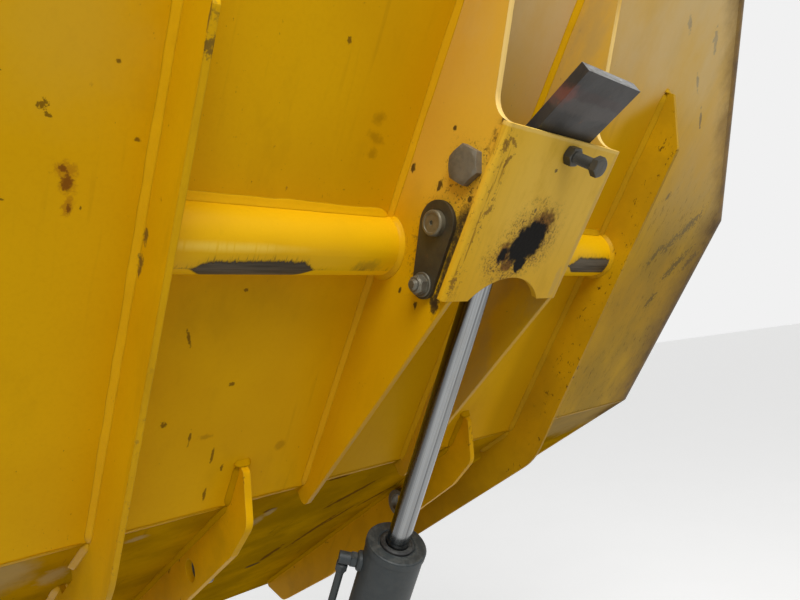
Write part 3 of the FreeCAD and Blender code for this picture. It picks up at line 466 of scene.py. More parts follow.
# Small helpers that build a material's nodes. A value may be a number, a colour or another node's output.
class Nodes:
    def __init__(self, name):
        self.material = bpy.data.materials.new(name)
        self.material.use_nodes = True
        self.tree = self.material.node_tree
        self.shader = self.tree.nodes["Principled BSDF"]
        self.wobbles = {}
        self.colour = None

    def node(self, kind, **settings):
        node = self.tree.nodes.new(kind)
        for key, value in settings.items():
            setattr(node, key, value)
        return node

    def feed(self, socket, value):
        if isinstance(value, bpy.types.NodeSocket):
            self.tree.links.new(value, socket)
        elif isinstance(value, tuple) and len(value) == 3 and socket.type == "RGBA":
            socket.default_value = (*value, 1.0)
        else:
            socket.default_value = value

    def sum(self, kind, a, b=0.0):
        node = self.node("ShaderNodeMath", operation=kind)
        self.feed(node.inputs[0], a)
        self.feed(node.inputs[1], b)
        return node.outputs[0]

    def times(self, a, b):
        return self.sum("MULTIPLY", a, b)

    def plus(self, a, b):
        return self.sum("ADD", a, b)

    def noise(self, at, scale, detail=3.0, rough=0.55):
        node = self.node("ShaderNodeTexNoise")
        self.feed(node.inputs["Vector"], at)
        node.inputs["Scale"].default_value = scale
        node.inputs["Detail"].default_value = detail
        node.inputs["Roughness"].default_value = rough
        return node.outputs["Fac"]

    def place(self, at, move=(0, 0, 0), turn=(0, 0, 0), size=(1, 1, 1), kind="POINT"):
        node = self.node("ShaderNodeMapping", vector_type=kind)
        self.feed(node.inputs["Vector"], at)
        node.inputs["Location"].default_value = move
        node.inputs["Rotation"].default_value = turn
        node.inputs["Scale"].default_value = size
        return node.outputs[0]

    def shift(self, at, x, y, z):
        return self.place(at, (x, y, z))

    def stretch(self, at, x, y, z, move=(0, 0, 0)):
        return self.place(at, move, (0, 0, 0), (x, y, z))

    def parts(self, vector):
        node = self.node("ShaderNodeSeparateXYZ")
        self.feed(node.inputs[0], vector)
        return node.outputs

    # 0 below low and 1 above high, with a soft step between them. Low may lie above high.
    def step(self, value, low, high, start=0.0, end=1.0):
        node = self.node("ShaderNodeMapRange", interpolation_type="SMOOTHSTEP")
        if low > high:
            low, high, start, end = high, low, end, start
        self.feed(node.inputs["Value"], value)
        node.inputs["From Min"].default_value = low
        node.inputs["From Max"].default_value = high
        node.inputs["To Min"].default_value = start
        node.inputs["To Max"].default_value = end
        return node.outputs[0]

    def mix(self, share, a, b):
        node = self.node("ShaderNodeMix", data_type="RGBA")
        self.feed(node.inputs[0], share)
        self.feed(node.inputs[6], a)
        self.feed(node.inputs[7], b)
        return node.outputs[2]

    # Lays a colour over what the material has so far.
    def lay(self, share, colour, strength=None):
        if strength is not None:
            share = self.times(share, strength)
        self.colour = self.mix(share, self.colour, colour)

    def blend(self, share, a, b):
        node = self.node("ShaderNodeMix", data_type="FLOAT")
        self.feed(node.inputs[0], share)
        self.feed(node.inputs[2], a)
        self.feed(node.inputs[3], b)
        return node.outputs[0]

    # A spot on the level skip: centre as (to the right, up from the fold, below the sheet) and radii.
    def spot(self, flat, centre, radii, turn=0.0, ragged=0.5, scale=60.0, soft=0.18):
        aside, back, depth = centre
        move = (-(HINGE_AHEAD + back) / 1000, -aside / 1000, -(HINGE_ABOVE + depth) / 1000)
        size = (radii[1] / 1000, radii[0] / 1000, radii[2] / 1000)
        local = self.place(flat, move, (0, 0, math.radians(turn)), size, "TEXTURE")
        reach = self.node("ShaderNodeVectorMath", operation="LENGTH")
        self.feed(reach.inputs[0], local)
        if scale not in self.wobbles:
            self.wobbles[scale] = self.sum("SUBTRACT", self.noise(flat, scale, 5.0, 0.68), 0.5)
        wobble = self.times(self.wobbles[scale], ragged * 2)
        return self.step(self.plus(reach.outputs["Value"], wobble), 1 + soft, 1 - soft)

    # Spots that share one measure of their centre, depth or aside. Rows give the rest, with no radius
    # along it.
    def spots(self, flat, kind, shared, rows):
        found = []
        for a, b, wide, high, *rest in rows:
            if kind == "depth":
                found.append(self.spot(flat, (a, b, shared), (wide, high, SPOT_THROUGH), *rest))
            else:
                found.append(self.spot(flat, (shared, a, b), (SPOT_THROUGH, wide, high), *rest))
        return self.most(*found)

    def most(self, *values):
        out = values[0]
        for value in values[1:]:
            out = self.sum("MAXIMUM", out, value)
        return out

    def bump(self, height, strength, distance, normal=None):
        node = self.node("ShaderNodeBump")
        node.inputs["Strength"].default_value = strength
        node.inputs["Distance"].default_value = distance
        self.feed(node.inputs["Height"], height)
        if normal is not None:
            self.feed(node.inputs["Normal"], normal)
        return node.outputs[0]

    # How far the surface turns within a small radius: 1 on an edge and 0 on a flat face.
    def edges(self, radius, low=0.985, high=0.86):
        bevel = self.node("ShaderNodeBevel", samples=2)
        bevel.inputs["Radius"].default_value = radius
        geometry = self.node("ShaderNodeNewGeometry")
        facing = self.node("ShaderNodeVectorMath", operation="DOT_PRODUCT")
        self.feed(facing.inputs[0], bevel.outputs[0])
        self.feed(facing.inputs[1], geometry.outputs["Normal"])
        return self.step(facing.outputs["Value"], low, high), bevel.outputs[0]


YELLOW = (0.74, 0.412, 0.0015)
DEEP_YELLOW = (0.60, 0.30, 0.001)
PALE_YELLOW = (0.86, 0.56, 0.045)
HIGHLIGHT_CREAM = (0.86, 0.62, 0.22)
STAIN = (0.24, 0.125, 0.004)
RUST = (0.20, 0.065, 0.012)
DARK_STEEL = (0.055, 0.042, 0.028)
SOOT = (0.006, 0.005, 0.004)
GRIME = (0.085, 0.052, 0.010)
DUST = (0.34, 0.255, 0.115)


# Yellow machine paint with its stains, specks, chips and worn edges. Marks add what one surface alone shows.
# Shade scales the coat's colour, which makes lit and shaded copies of one paint, that is painted light and
# shade; gloss is the shader's specular level, and bright says how far an edge has paled.
def paint(name, marks=None, dirt=0.35, chips=1.0, inside=False, shade=1.0, gloss=0.2, bright=0.45):
    n = Nodes(name)
    at = n.node("ShaderNodeTexCoord").outputs["Object"]
    flat = n.place(at, turn=(0, -TIP_ANGLE, 0))
    base = tuple(c * shade for c in YELLOW)
    deep = tuple(c * shade for c in DEEP_YELLOW)
    broad = n.noise(flat, 2.3, 3.0, 0.5)
    n.colour = n.mix(n.step(broad, 0.38, 0.68, 0.0, 0.6), base, deep)
    cloud = n.noise(n.stretch(flat, 5.0, 9.0, 9.0, (3.1, 0.7, 1.9)), 1.0, 5.0, 0.62)
    n.lay(n.step(cloud, 0.50, 0.78, 0.0, 0.45 * dirt), STAIN)
    runs = n.noise(n.stretch(flat, 7.0, 95.0, 95.0), 1.0, 3.0, 0.5)
    thin = n.noise(flat, 3.7, 2.0, 0.5)
    run_mask = n.times(n.step(runs, 0.58, 0.76), n.step(thin, 0.48, 0.66, 0.0, 0.30 * dirt))
    n.lay(run_mask, STAIN)
    grain = n.noise(flat, 190.0, 2.0, 0.6)
    n.lay(n.step(grain, 0.42, 0.70, 0.0, 0.12), deep)
    where = n.noise(n.shift(flat, 7.7, 2.2, 4.4), 4.5, 3.0, 0.6)
    specks = n.noise(n.stretch(flat, 0.6, 1.0, 1.0), 260.0, 3.0, 0.62)
    speck_mask = n.times(n.step(specks, 0.70, 0.735), n.step(where, 0.49, 0.60))
    n.lay(speck_mask, GRIME, 0.75)
    chip_noise = n.noise(n.stretch(flat, 0.7, 1.0, 1.0, (1.3, 5.9, 8.1)), 58.0, 6.0, 0.66)
    patchy = n.step(n.noise(n.shift(flat, 9.3, 4.1, 0.6), 5.2, 2.0, 0.5), 0.54, 0.64)
    worn_from = 0.735 - 0.012 * chips
    chip = n.times(n.step(chip_noise, worn_from, worn_from + 0.02), patchy)
    rim = n.times(n.step(chip_noise, worn_from - 0.045, worn_from), patchy)
    n.lay(rim, RUST, 0.5)
    n.lay(chip, DARK_STEEL, 0.9)
    edge, rounded = n.edges(0.0022)
    n.lay(n.times(edge, bright), PALE_YELLOW)
    nick = n.times(edge, n.step(n.noise(flat, 34.0, 5.0, 0.68), 0.61, 0.67))
    n.lay(n.times(nick, min(1.0, bright * 2)), DARK_STEEL)
    roughness = n.plus(0.34, n.times(n.noise(flat, 7.0, 4.0, 0.6), 0.16))
    rough_spots = n.most(chip, nick, n.times(speck_mask, 0.6))
    height = n.times(n.noise(flat, 420.0, 2.0, 0.5), 0.05)
    if marks:
        rough_spots, height = marks(n, flat, rough_spots, height)
    if inside:
        rough_spots = worn_inside(n, flat, rough_spots)
    n.feed(n.shader.inputs["Base Color"], n.colour)
    n.feed(n.shader.inputs["Roughness"], n.blend(rough_spots, roughness, 0.72))
    n.shader.inputs["Specular IOR Level"].default_value = gloss
    normal = n.bump(n.noise(flat, 5.5, 2.0, 0.4), 0.25, 0.004, rounded)
    normal = n.bump(n.sum("SUBTRACT", height, n.times(rough_spots, 0.35)), 0.5, 0.0006, normal)
    n.feed(n.shader.inputs["Normal"], normal)
    return n.material


# The load side of a sheet: scraped to steel, rusted and stained by what it carries.
def worn_inside(n, flat, rough_spots):
    geometry = n.node("ShaderNodeNewGeometry")
    normal = n.parts(n.place(geometry.outputs["Normal"], turn=(0, -TIP_ANGLE, 0)))
    spot = n.parts(flat)
    inward = n.step(n.times(normal[1], spot[1]), 0.0, -0.05)
    upward = n.step(normal[2], 0.35, 0.6)
    ahead = n.times(n.step(normal[0], 0.4, 0.6), n.step(spot[0], -1.0, -1.1))
    load_side = n.most(upward, inward, ahead)
    wear = n.noise(n.stretch(flat, 1.6, 4.0, 4.0, (4.0, 4.0, 4.0)), 1.6, 7.0, 0.66)
    scrape = n.noise(n.place(flat, (0, 0, 0), (0, 0, 0.08), (3.0, 70.0, 70.0)), 1.0, 5.0, 0.66)
    mud = n.noise(n.shift(flat, 6.0, 1.0, 2.0), 5.0, 7.0, 0.68)
    worn = n.plus(wear, n.times(n.sum("SUBTRACT", scrape, 0.5), 0.5))
    worn = n.sum("SUBTRACT", worn, n.step(spot[2], 0.02, 0.44, -0.10, 0.17))
    thin = n.step(worn, 0.22, 0.46, 0.30, 0.85)
    bare = n.step(worn, 0.40, 0.56)
    steel = n.mix(n.step(mud, 0.36, 0.66), (0.175, 0.150, 0.120), (0.185, 0.105, 0.052))
    steel = n.mix(n.step(scrape, 0.52, 0.74, 0.0, 0.6), steel, (0.30, 0.275, 0.235))
    inner = n.mix(thin, n.colour, (0.34, 0.215, 0.075))
    inner = n.mix(bare, inner, steel)
    inner = n.mix(n.step(mud, 0.50, 0.78, 0.0, 0.7), inner, (0.26, 0.205, 0.140))
    n.lay(load_side, inner)
    return n.most(rough_spots, n.times(load_side, 0.7))


# Distance in metres to the flat part's outline near the side bends and the cut corners.
def edge_gap(n, at, along):
    aside = n.sum("ABSOLUTE", at[1])
    cut = (HALF_WIDTH + FLOOR_LENGTH - CORNER_RUN) / 1000
    slant = n.times(n.sum("SUBTRACT", n.sum("SUBTRACT", cut, aside), along), 0.7071)
    straight = n.sum("SUBTRACT", HALF_WIDTH / 1000, aside)
    return n.sum("MINIMUM", n.times(slant, 1.7), straight)


# Painted shade along the bends: a ragged brown band, darkest at the edge, which also paints the walls'
# flanges.
def painted_bend_shade(n, flat, gap):
    film = n.noise(n.shift(flat, 5.0, 3.0, 7.0), 14.0, 6.0, 0.68)
    broad = n.noise(n.shift(flat, 2.0, 6.0, 1.0), 3.4, 2.0, 0.5)
    height = n.plus(n.parts(flat)[2], n.times(n.sum("SUBTRACT", film, 0.5), 0.13))
    height = n.plus(height, n.times(n.sum("SUBTRACT", broad, 0.5), 0.16))
    near = n.step(height, 0.040, -0.045, 0.0, 1.0)
    ragged = n.plus(gap, n.times(n.sum("SUBTRACT", film, 0.5), 0.16))
    n.lay(n.times(near, n.step(ragged, 0.170, 0.040, 0.0, 0.66)), (0.175, 0.100, 0.030))
    n.lay(n.times(near, n.step(ragged, 0.075, 0.010, 0.0, 0.78)), (0.080, 0.047, 0.024))


# Marks on the floor sheet: chips, a rust run, smudges, dust on its right end and between the cheeks, which on
# the right end is partly painted shade and sheen, a band of painted shade inboard of the right rib, and
# painted shade along the bends.
def sheet_marks(n, flat, rough_spots, height):
    haze = n.spot(flat, (-560, 660, 0), (60, 70, 60), 0, 0.8, 14.0, 0.8)
    n.lay(haze, (0.62, 0.40, 0.06), 0.25)
    veil = n.spots(flat, "depth", 0, [
        (-547, 523, 9, 8, 0, 1.5, 150.0, 0.45),
        (-545, 509, 7, 10, 0, 1.3, 150.0, 0.45),
        (-541, 488, 5, 12, 10, 1.7, 150.0, 0.45)])
    n.lay(veil, (0.36, 0.13, 0.008), 0.55)
    core = n.spots(flat, "depth", 0, [
        (-545, 510, 5, 8, 0, 1.4, 230.0, 0.3),
        (-550, 524, 3, 5, 0, 1.8, 230.0, 0.3),
        (-541, 483, 2, 6, 0, 1.8, 230.0, 0.3)])
    n.lay(core, (0.15, 0.035, 0.006), 0.75)
    chips = n.spots(flat, "depth", 0, [
        (-573, 583, 4, 4, 20, 2.4, 230.0, 0.25),
        (-568, 574, 3, 2, 20, 2.2, 230.0, 0.25),
        (-267, 715, 3, 4, 0, 1.6, 230.0, 0.25),
        (-610, 606, 4, 1, 0, 1.2, 230.0, 0.2),
        (-601, 488, 4, 1, 0, 1.2, 230.0, 0.2),
        (-386, 321, 2, 12, -20, 1.8, 230.0, 0.3),
        (-322, 388, 3, 3, 0, 1.6, 230.0, 0.3),
        (-308, 239, 4, 3, 10, 1.6, 230.0, 0.3),
        (-395, 185, 4, 4, 30, 1.8, 230.0, 0.3),
        (-353, 153, 2, 12, 0, 1.8, 150.0, 0.3),
        (-311, 114, 2, 12, 0, 1.8, 150.0, 0.3),
        (-308, 38, 2, 11, 0, 1.8, 150.0, 0.3),
        (-290, 84, 2, 6, 0, 1.8, 230.0, 0.3),
        (-513, 635, 2, 2, 0, 1.2, 230.0, 0.4),
        (-485, 563, 3, 2, 0, 1.2, 230.0, 0.4),
        (-530, 485, 1, 2, 0, 1.2, 230.0, 0.4)])
    n.lay(chips, (0.125, 0.058, 0.006), 0.78)
    streaks = n.spots(flat, "depth", 0, [
        (432, 917, 5, 20, -45, 1.5, 70.0, 0.3),
        (546, 918, 6, 24, -45, 2.2, 70.0, 0.3),
        (557, 838, 4, 20, -50, 1.6, 70.0, 0.3),
        (636, 782, 3, 22, -45, 2.0, 70.0, 0.3),
        (947, 458, 9, 30, 40, 3.4, 150.0, 0.35),
        (875, 442, 12, 44, 40, 3.2, 150.0, 0.35),
        (843, 551, 12, 38, 40, 3.6, 150.0, 0.35),
        (790, 500, 10, 30, 40, 3.6, 150.0, 0.35),
        (741, 467, 8, 26, 30, 3.6, 150.0, 0.35),
        (665, 607, 6, 8, 30, 2.4, 150.0, 0.3),
        (837, 341, 9, 20, 30, 3.0, 150.0, 0.3)])
    n.lay(streaks, (0.055, 0.027, 0.007), 0.85)
    smudge = n.spots(flat, "depth", 0, [
        (-191, 636, 8, 7, 0, 1.3, 150.0, 0.7),
        (-188, 611, 12, 6, 20, 1.3, 150.0, 0.7),
        (-185, 590, 6, 6, 0, 1.3, 150.0, 0.7),
        (-194, 106, 9, 9, 0, 0.8, 70.0, 0.4),
        (-330, 151, 9, 4, 0, 1.2, 150.0, 0.6)])
    n.lay(smudge, (0.28, 0.13, 0.002), 0.45)
    at = n.parts(flat)
    along = n.sum("SUBTRACT", -HINGE_AHEAD / 1000, at[0])
    gap = edge_gap(n, at, along)
    right_end = n.step(at[1], -0.47, -0.72)
    aloft = n.times(n.step(at[1], -0.10, -0.16), n.step(along, 0.66, 0.84))
    aside = n.times(at[1], -1.0)
    # Painted shade inboard of the right rib: in this band the dust is thinned and a darker yellow is laid.
    rib_shade_line = n.sum("SUBTRACT", n.sum("SUBTRACT", along, n.times(aside, 0.65)), 0.488)
    rib_shade = n.times(n.step(rib_shade_line, 0.03, -0.02), n.step(aside, 0.335, 0.385))
    rib_shade = n.times(rib_shade, n.step(aside, 0.470, 0.460))
    between = n.times(n.step(n.sum("ABSOLUTE", at[1]), 0.115, 0.112), n.step(along, 0.60, 0.76))
    film = n.step(n.noise(n.stretch(flat, 2.0, 3.0, 3.0, (2.0, 8.0, 0.0)), 2.0, 5.0, 0.62), 0.33, 0.66)
    # The film runs from brown low down to pale higher up; on the right end it is partly dust and partly
    # painted shade and sheen.
    dust = n.mix(n.step(along, 0.42, 0.86), (0.235, 0.168, 0.045), (0.74, 0.60, 0.36))
    share = n.times(n.most(right_end, aloft, between), n.blend(film, 0.36, 0.66))
    share = n.times(share, n.step(rib_shade, 0.0, 1.0, 1.0, 0.15))
    n.lay(share, dust)
    # Painted shade: darker yellow over the band inboard of the right rib.
    n.lay(rib_shade, (0.42, 0.22, 0.004), 0.45)
    lanes = n.place(flat, (0, 0, 0), (0, 0, 0.75), (45.0, 150.0, 80.0))
    flecks = n.step(n.noise(lanes, 1.0, 5.0, 0.72), 0.56, 0.66, 0.0, 0.75)
    dirty = n.times(right_end, n.step(along, 0.78, 0.50, 0.15, 1.0))
    n.lay(n.times(n.times(dirty, film), flecks), (0.10, 0.054, 0.012))
    # Painted shade along the bends.
    painted_bend_shade(n, flat, gap)
    return n.most(rough_spots, chips, n.times(veil, 0.8), n.times(share, 0.6)), height


# Dust, rust streaks and grease on the ramp's underside, with a dark film that is partly painted shade, and
# painted shade along its bends.
def ramp_marks(n, flat, rough_spots, height):
    c, s = math.cos(RAMP_ANGLE), math.sin(RAMP_ANGLE)

    def streak(aside, along, radii, turn=0.0, ragged=1.1, scale=70.0, soft=0.3):
        return n.spot(flat, (aside, -along * c, -along * s), (radii[0], radii[1], 400), turn, ragged,
                      scale, soft)

    # A dark brown film over much of the ramp, partly dirt and partly painted shade.
    film = n.noise(n.stretch(flat, 3.0, 2.0, 2.0, (3.0, 3.0, 3.0)), 2.5, 5.0, 0.6)
    n.lay(n.step(film, 0.35, 0.62, 0.05, 0.50), (0.19, 0.100, 0.002))
    pale = n.step(n.noise(flat, 4.0, 4.0, 0.6), 0.62, 0.76, 0.0, 0.15)
    n.lay(pale, (0.33, 0.22, 0.03))
    scuff = n.noise(n.place(flat, (0, 0, 0), (0, 0, 0.5), (9.0, 60.0, 9.0)), 1.0, 5.0, 0.65)
    n.lay(n.step(scuff, 0.62, 0.72, 0.0, 0.45), (0.13, 0.055, 0.012))
    rust = n.most(streak(85, 165, (9, 60), 35), streak(119, 400, (8, 90), 12), streak(-34, 12, (20, 6)),
                  streak(150, 330, (6, 60), 20), streak(60, 520, (10, 50), 8), streak(-137, 103, (12, 8)),
                  streak(210, 250, (6, 40), 30))
    n.lay(rust, (0.10, 0.035, 0.010), 0.75)
    black = n.most(streak(493, 80, (11, 8)), streak(708, 584, (26, 15)), streak(40, 590, (20, 12)))
    n.lay(black, DARK_STEEL, 0.8)
    cream = n.most(streak(-562, 60, (36, 62), 0, 0.9, 14.0, 0.6),
                   streak(-488, 128, (18, 30), 0, 0.9, 70.0, 0.5),
                   streak(-388, 50, (16, 9), 0, 0.9, 70.0, 0.5),
                   streak(-142, 159, (12, 26), 0, 0.9, 70.0, 0.5),
                   streak(-130, 120, (10, 16), 0, 0.9, 70.0, 0.5),
                   streak(860, 60, (260, 90), 0, 0.8, 14.0, 0.5))
    n.lay(cream, (0.52, 0.40, 0.20), 0.55)
    straight = n.sum("SUBTRACT", HALF_WIDTH / 1000, n.sum("ABSOLUTE", n.parts(flat)[1]))
    # Painted shade along the bends.
    painted_bend_shade(n, flat, straight)
    return n.most(rough_spots, rust, black), height


# The strike plate: a burnt patch with a ragged rim, scratches by its left edge and a rubbed right edge.
def plate_marks(n, flat, rough_spots, height):
    at = n.parts(flat)
    pale = n.times(n.step(at[0], -0.66, -0.80, 0.18, 0.58), n.step(at[1], 0.130, 0.040, 0.45, 1.0))
    n.lay(pale, (0.85, 0.575, 0.11))
    streaks = n.noise(n.stretch(flat, 5.0, 105.0, 105.0), 1.0, 4.0, 0.62)
    n.lay(n.step(streaks, 0.50, 0.75, 0.0, 0.22), (0.54, 0.31, 0.02))
    cloud = n.noise(n.stretch(flat, 1.0, 1.6, 1.0, (2.2, 1.1, 0.4)), 17.0, 4.0, 0.6)
    n.lay(n.step(cloud, 0.50, 0.72, 0.0, 0.32), (0.58, 0.32, 0.012))
    left = n.spot(flat, (-117, 560, 155), (15, 132, 60), -1, 0.5, 14.0, 0.6)
    scratch = n.noise(n.place(flat, (1.0, 2.0, 0.0), (0, 0, 0.03), (16.0, 210.0, 210.0)), 1.0, 5.0, 0.7)
    marks = n.times(left, n.step(scratch, 0.54, 0.64))
    n.lay(marks, (0.22, 0.095, 0.008), 0.65)
    grains = n.times(left, n.step(n.noise(flat, 150.0, 5.0, 0.7), 0.57, 0.65))
    n.lay(grains, (0.16, 0.085, 0.018), 0.7)
    corner = n.spots(flat, "depth", 155, [
        (-121, 662, 4, 9, 10, 2.4, 230.0, 0.3),
        (-107, 580, 4, 8, 40, 2.4, 230.0, 0.3),
        (-106, 646, 3, 8, 30, 2.6, 230.0, 0.3),
        (-110, 668, 8, 3, 30, 2.6, 230.0, 0.3),
        (-122, 476, 4, 12, 0, 2.4, 230.0, 0.3)])
    n.lay(corner, (0.15, 0.065, 0.012), 0.7)
    rubbed = n.spots(flat, "depth", 155, [
        (122, 560, 6, 150, 0, 0.7, 70.0, 0.5),
        (110, 476, 7, 26, -6, 0.8, 70.0, 0.4)])
    n.lay(rubbed, (0.52, 0.34, 0.10), 0.5)
    lip = n.spots(flat, "depth", 155, [
        (0, 686, 400, 2.5, 0, 0.5, 70.0, 0.4),
        (129, 570, 1.5, 400, 0, 0.5, 70.0, 0.4)])
    n.lay(lip, (0.88, 0.66, 0.22), 0.4)
    halo = n.spots(flat, "depth", 155, [
        (2, 545, 50, 48, -12, 0.7, 70.0, 0.5),
        (-28, 510, 44, 34, 0, 0.7, 70.0, 0.5)])
    n.lay(halo, (0.26, 0.115, 0.008), 0.28)
    dots = n.step(n.noise(flat, 300.0, 4.0, 0.7), 0.50, 0.60)
    n.lay(n.times(halo, dots), (0.075, 0.042, 0.012))
    brown = n.spots(flat, "depth", 155, [
        (-42, 522, 12, 16, -20, 1.6, 150.0, 0.35),
        (-28, 504, 12, 9, 0, 1.6, 150.0, 0.35),
        (10, 562, 29, 20, -40, 1.2, 150.0, 0.3)])
    tint = n.mix(n.step(n.noise(flat, 190.0, 4.0, 0.65), 0.42, 0.60), (0.060, 0.024, 0.012),
                 (0.21, 0.085, 0.026))
    n.lay(brown, tint, 0.85)
    black = n.spots(flat, "depth", 155, [
        (-9, 532, 28, 24, -10, 0.6, 150.0, 0.16),
        (0, 541, 33, 28, -20, 0.6, 150.0, 0.16),
        (7, 551, 27, 22, 10, 0.7, 150.0, 0.16),
        (0, 508, 11, 14, 0, 1.2, 150.0, 0.16),
        (-44, 519, 8, 10, 0, 1.4, 150.0, 0.25)])
    n.lay(black, SOOT)
    crater = n.step(n.noise(flat, 160.0, 4.0, 0.6), 0.3, 0.7)
    height = n.sum("SUBTRACT", height, n.times(black, n.plus(crater, 2.0)))
    dot = n.spots(flat, "depth", 155, [
        (-4, 644, 3, 3, 0, 1.4, 230.0, 0.4),
        (-13, 587, 2, 4, 0, 1.4, 230.0, 0.4)])
    n.lay(dot, DARK_STEEL, 0.8)
    return n.most(rough_spots, black, brown, n.times(marks, 0.5)), height


# A cheek: dirt round the flag plate and the bolt, a dark band beside the flag plate that is partly painted
# shadow, a pale film on its upper end that is partly painted sheen, and a cream painted highlight on the cut
# edges round the throat.
def cheek_marks(n, flat, rough_spots, height):
    at = n.parts(flat)
    # On the cheek's upper end: a pale film and a slight lightening, partly dust and partly painted sheen.
    upper = n.step(at[0], -0.86, -1.0)
    film = n.noise(n.stretch(flat, 2.0, 4.0, 4.0), 3.0, 5.0, 0.62)
    n.lay(n.times(upper, n.step(film, 0.35, 0.62, 0.10, 0.42)), (0.62, 0.42, 0.15))
    n.lay(n.step(at[0], -0.70, -0.80, 0.0, 0.11), (0.74, 0.56, 0.28))
    grit = n.noise(flat, 230.0, 4.0, 0.7)
    # Dark band beside the flag plate, on the strike plate's side: partly dirt and partly a painted shadow of
    # the flag plate.
    dirt = n.spots(flat, "aside", -120, [
        (538, 133, 36, 12, 0, 0.8, 70.0, 0.45),
        (502, 137, 34, 10, 0, 0.8, 70.0, 0.45),
        (455, 139, 14, 8, 0, 1.1, 70.0, 0.3),
        (440, 136, 12, 9, 0, 1.1, 70.0, 0.3)])
    shell = n.spot(flat, (-120, 510, 105), (60, 82, 52), 0, 0.5, 14.0, 0.3)
    n.lay(n.times(shell, n.step(grit, 0.54, 0.64, 0.0, 0.7)), (0.12, 0.07, 0.015))
    n.lay(n.times(dirt, n.step(grit, 0.34, 0.50, 0.70, 0.95)), (0.040, 0.028, 0.012))
    ring = n.spot(flat, (-120, 617, 112), (60, 36, 36), 0, 0.6, 70.0, 0.4)
    n.lay(n.times(ring, n.step(grit, 0.53, 0.63, 0.0, 0.85)), (0.10, 0.06, 0.015))
    chips = n.spots(flat, "aside", -120, [
        (583, 14, 6, 4, 0, 1.2, 150.0, 0.3),
        (581, 73, 8, 4, 0, 1.6, 150.0, 0.3),
        (583, 131, 5, 4, 0, 1.2, 150.0, 0.3),
        (655, 65, 4, 3, 0, 1.2, 150.0, 0.3),
        (690, 138, 6, 4, 0, 1.4, 150.0, 0.3),
        (416, 104, 5, 3, 0, 1.4, 150.0, 0.3),
        (420, 67, 4, 3, 0, 1.4, 150.0, 0.3),
        (432, 138, 10, 6, 0, 1.4, 150.0, 0.3)])
    n.lay(chips, (0.045, 0.026, 0.008), 0.9)
    seam = n.spots(flat, "aside", -120, [
        (560, 141, 126, 4, 0, 0.8, 70.0, 0.5),
        (660, 138, 26, 10, 20, 1.0, 70.0, 0.5)])
    seam_noise = n.noise(flat, 60.0, 5.0, 0.66)
    n.lay(n.times(seam, n.step(seam_noise, 0.42, 0.56, 0.0, 0.8)), (0.12, 0.07, 0.015))
    # Painted highlight: cream on the cut edges round the throat.
    throat = n.most(n.spot(flat, (0, 790, 95), (400, 130, 30), -12, 0.3, 14.0, 0.3),
                    n.spot(flat, (0, 700, 128), (400, 22, 30), 0, 0.3, 14.0, 0.3))
    normal = n.parts(n.node("ShaderNodeNewGeometry").outputs["Normal"])
    cut_face = n.step(n.sum("ABSOLUTE", normal[1]), 0.6, 0.4)
    n.lay(n.times(throat, cut_face), HIGHLIGHT_CREAM, 0.75)
    inner = n.times(n.step(n.sum("ABSOLUTE", at[1]), 0.1155, 0.1145), n.step(film, 0.38, 0.60, 0.1, 0.5))
    n.lay(inner, (0.40, 0.27, 0.085))
    return n.most(rough_spots, dirt, chips), height


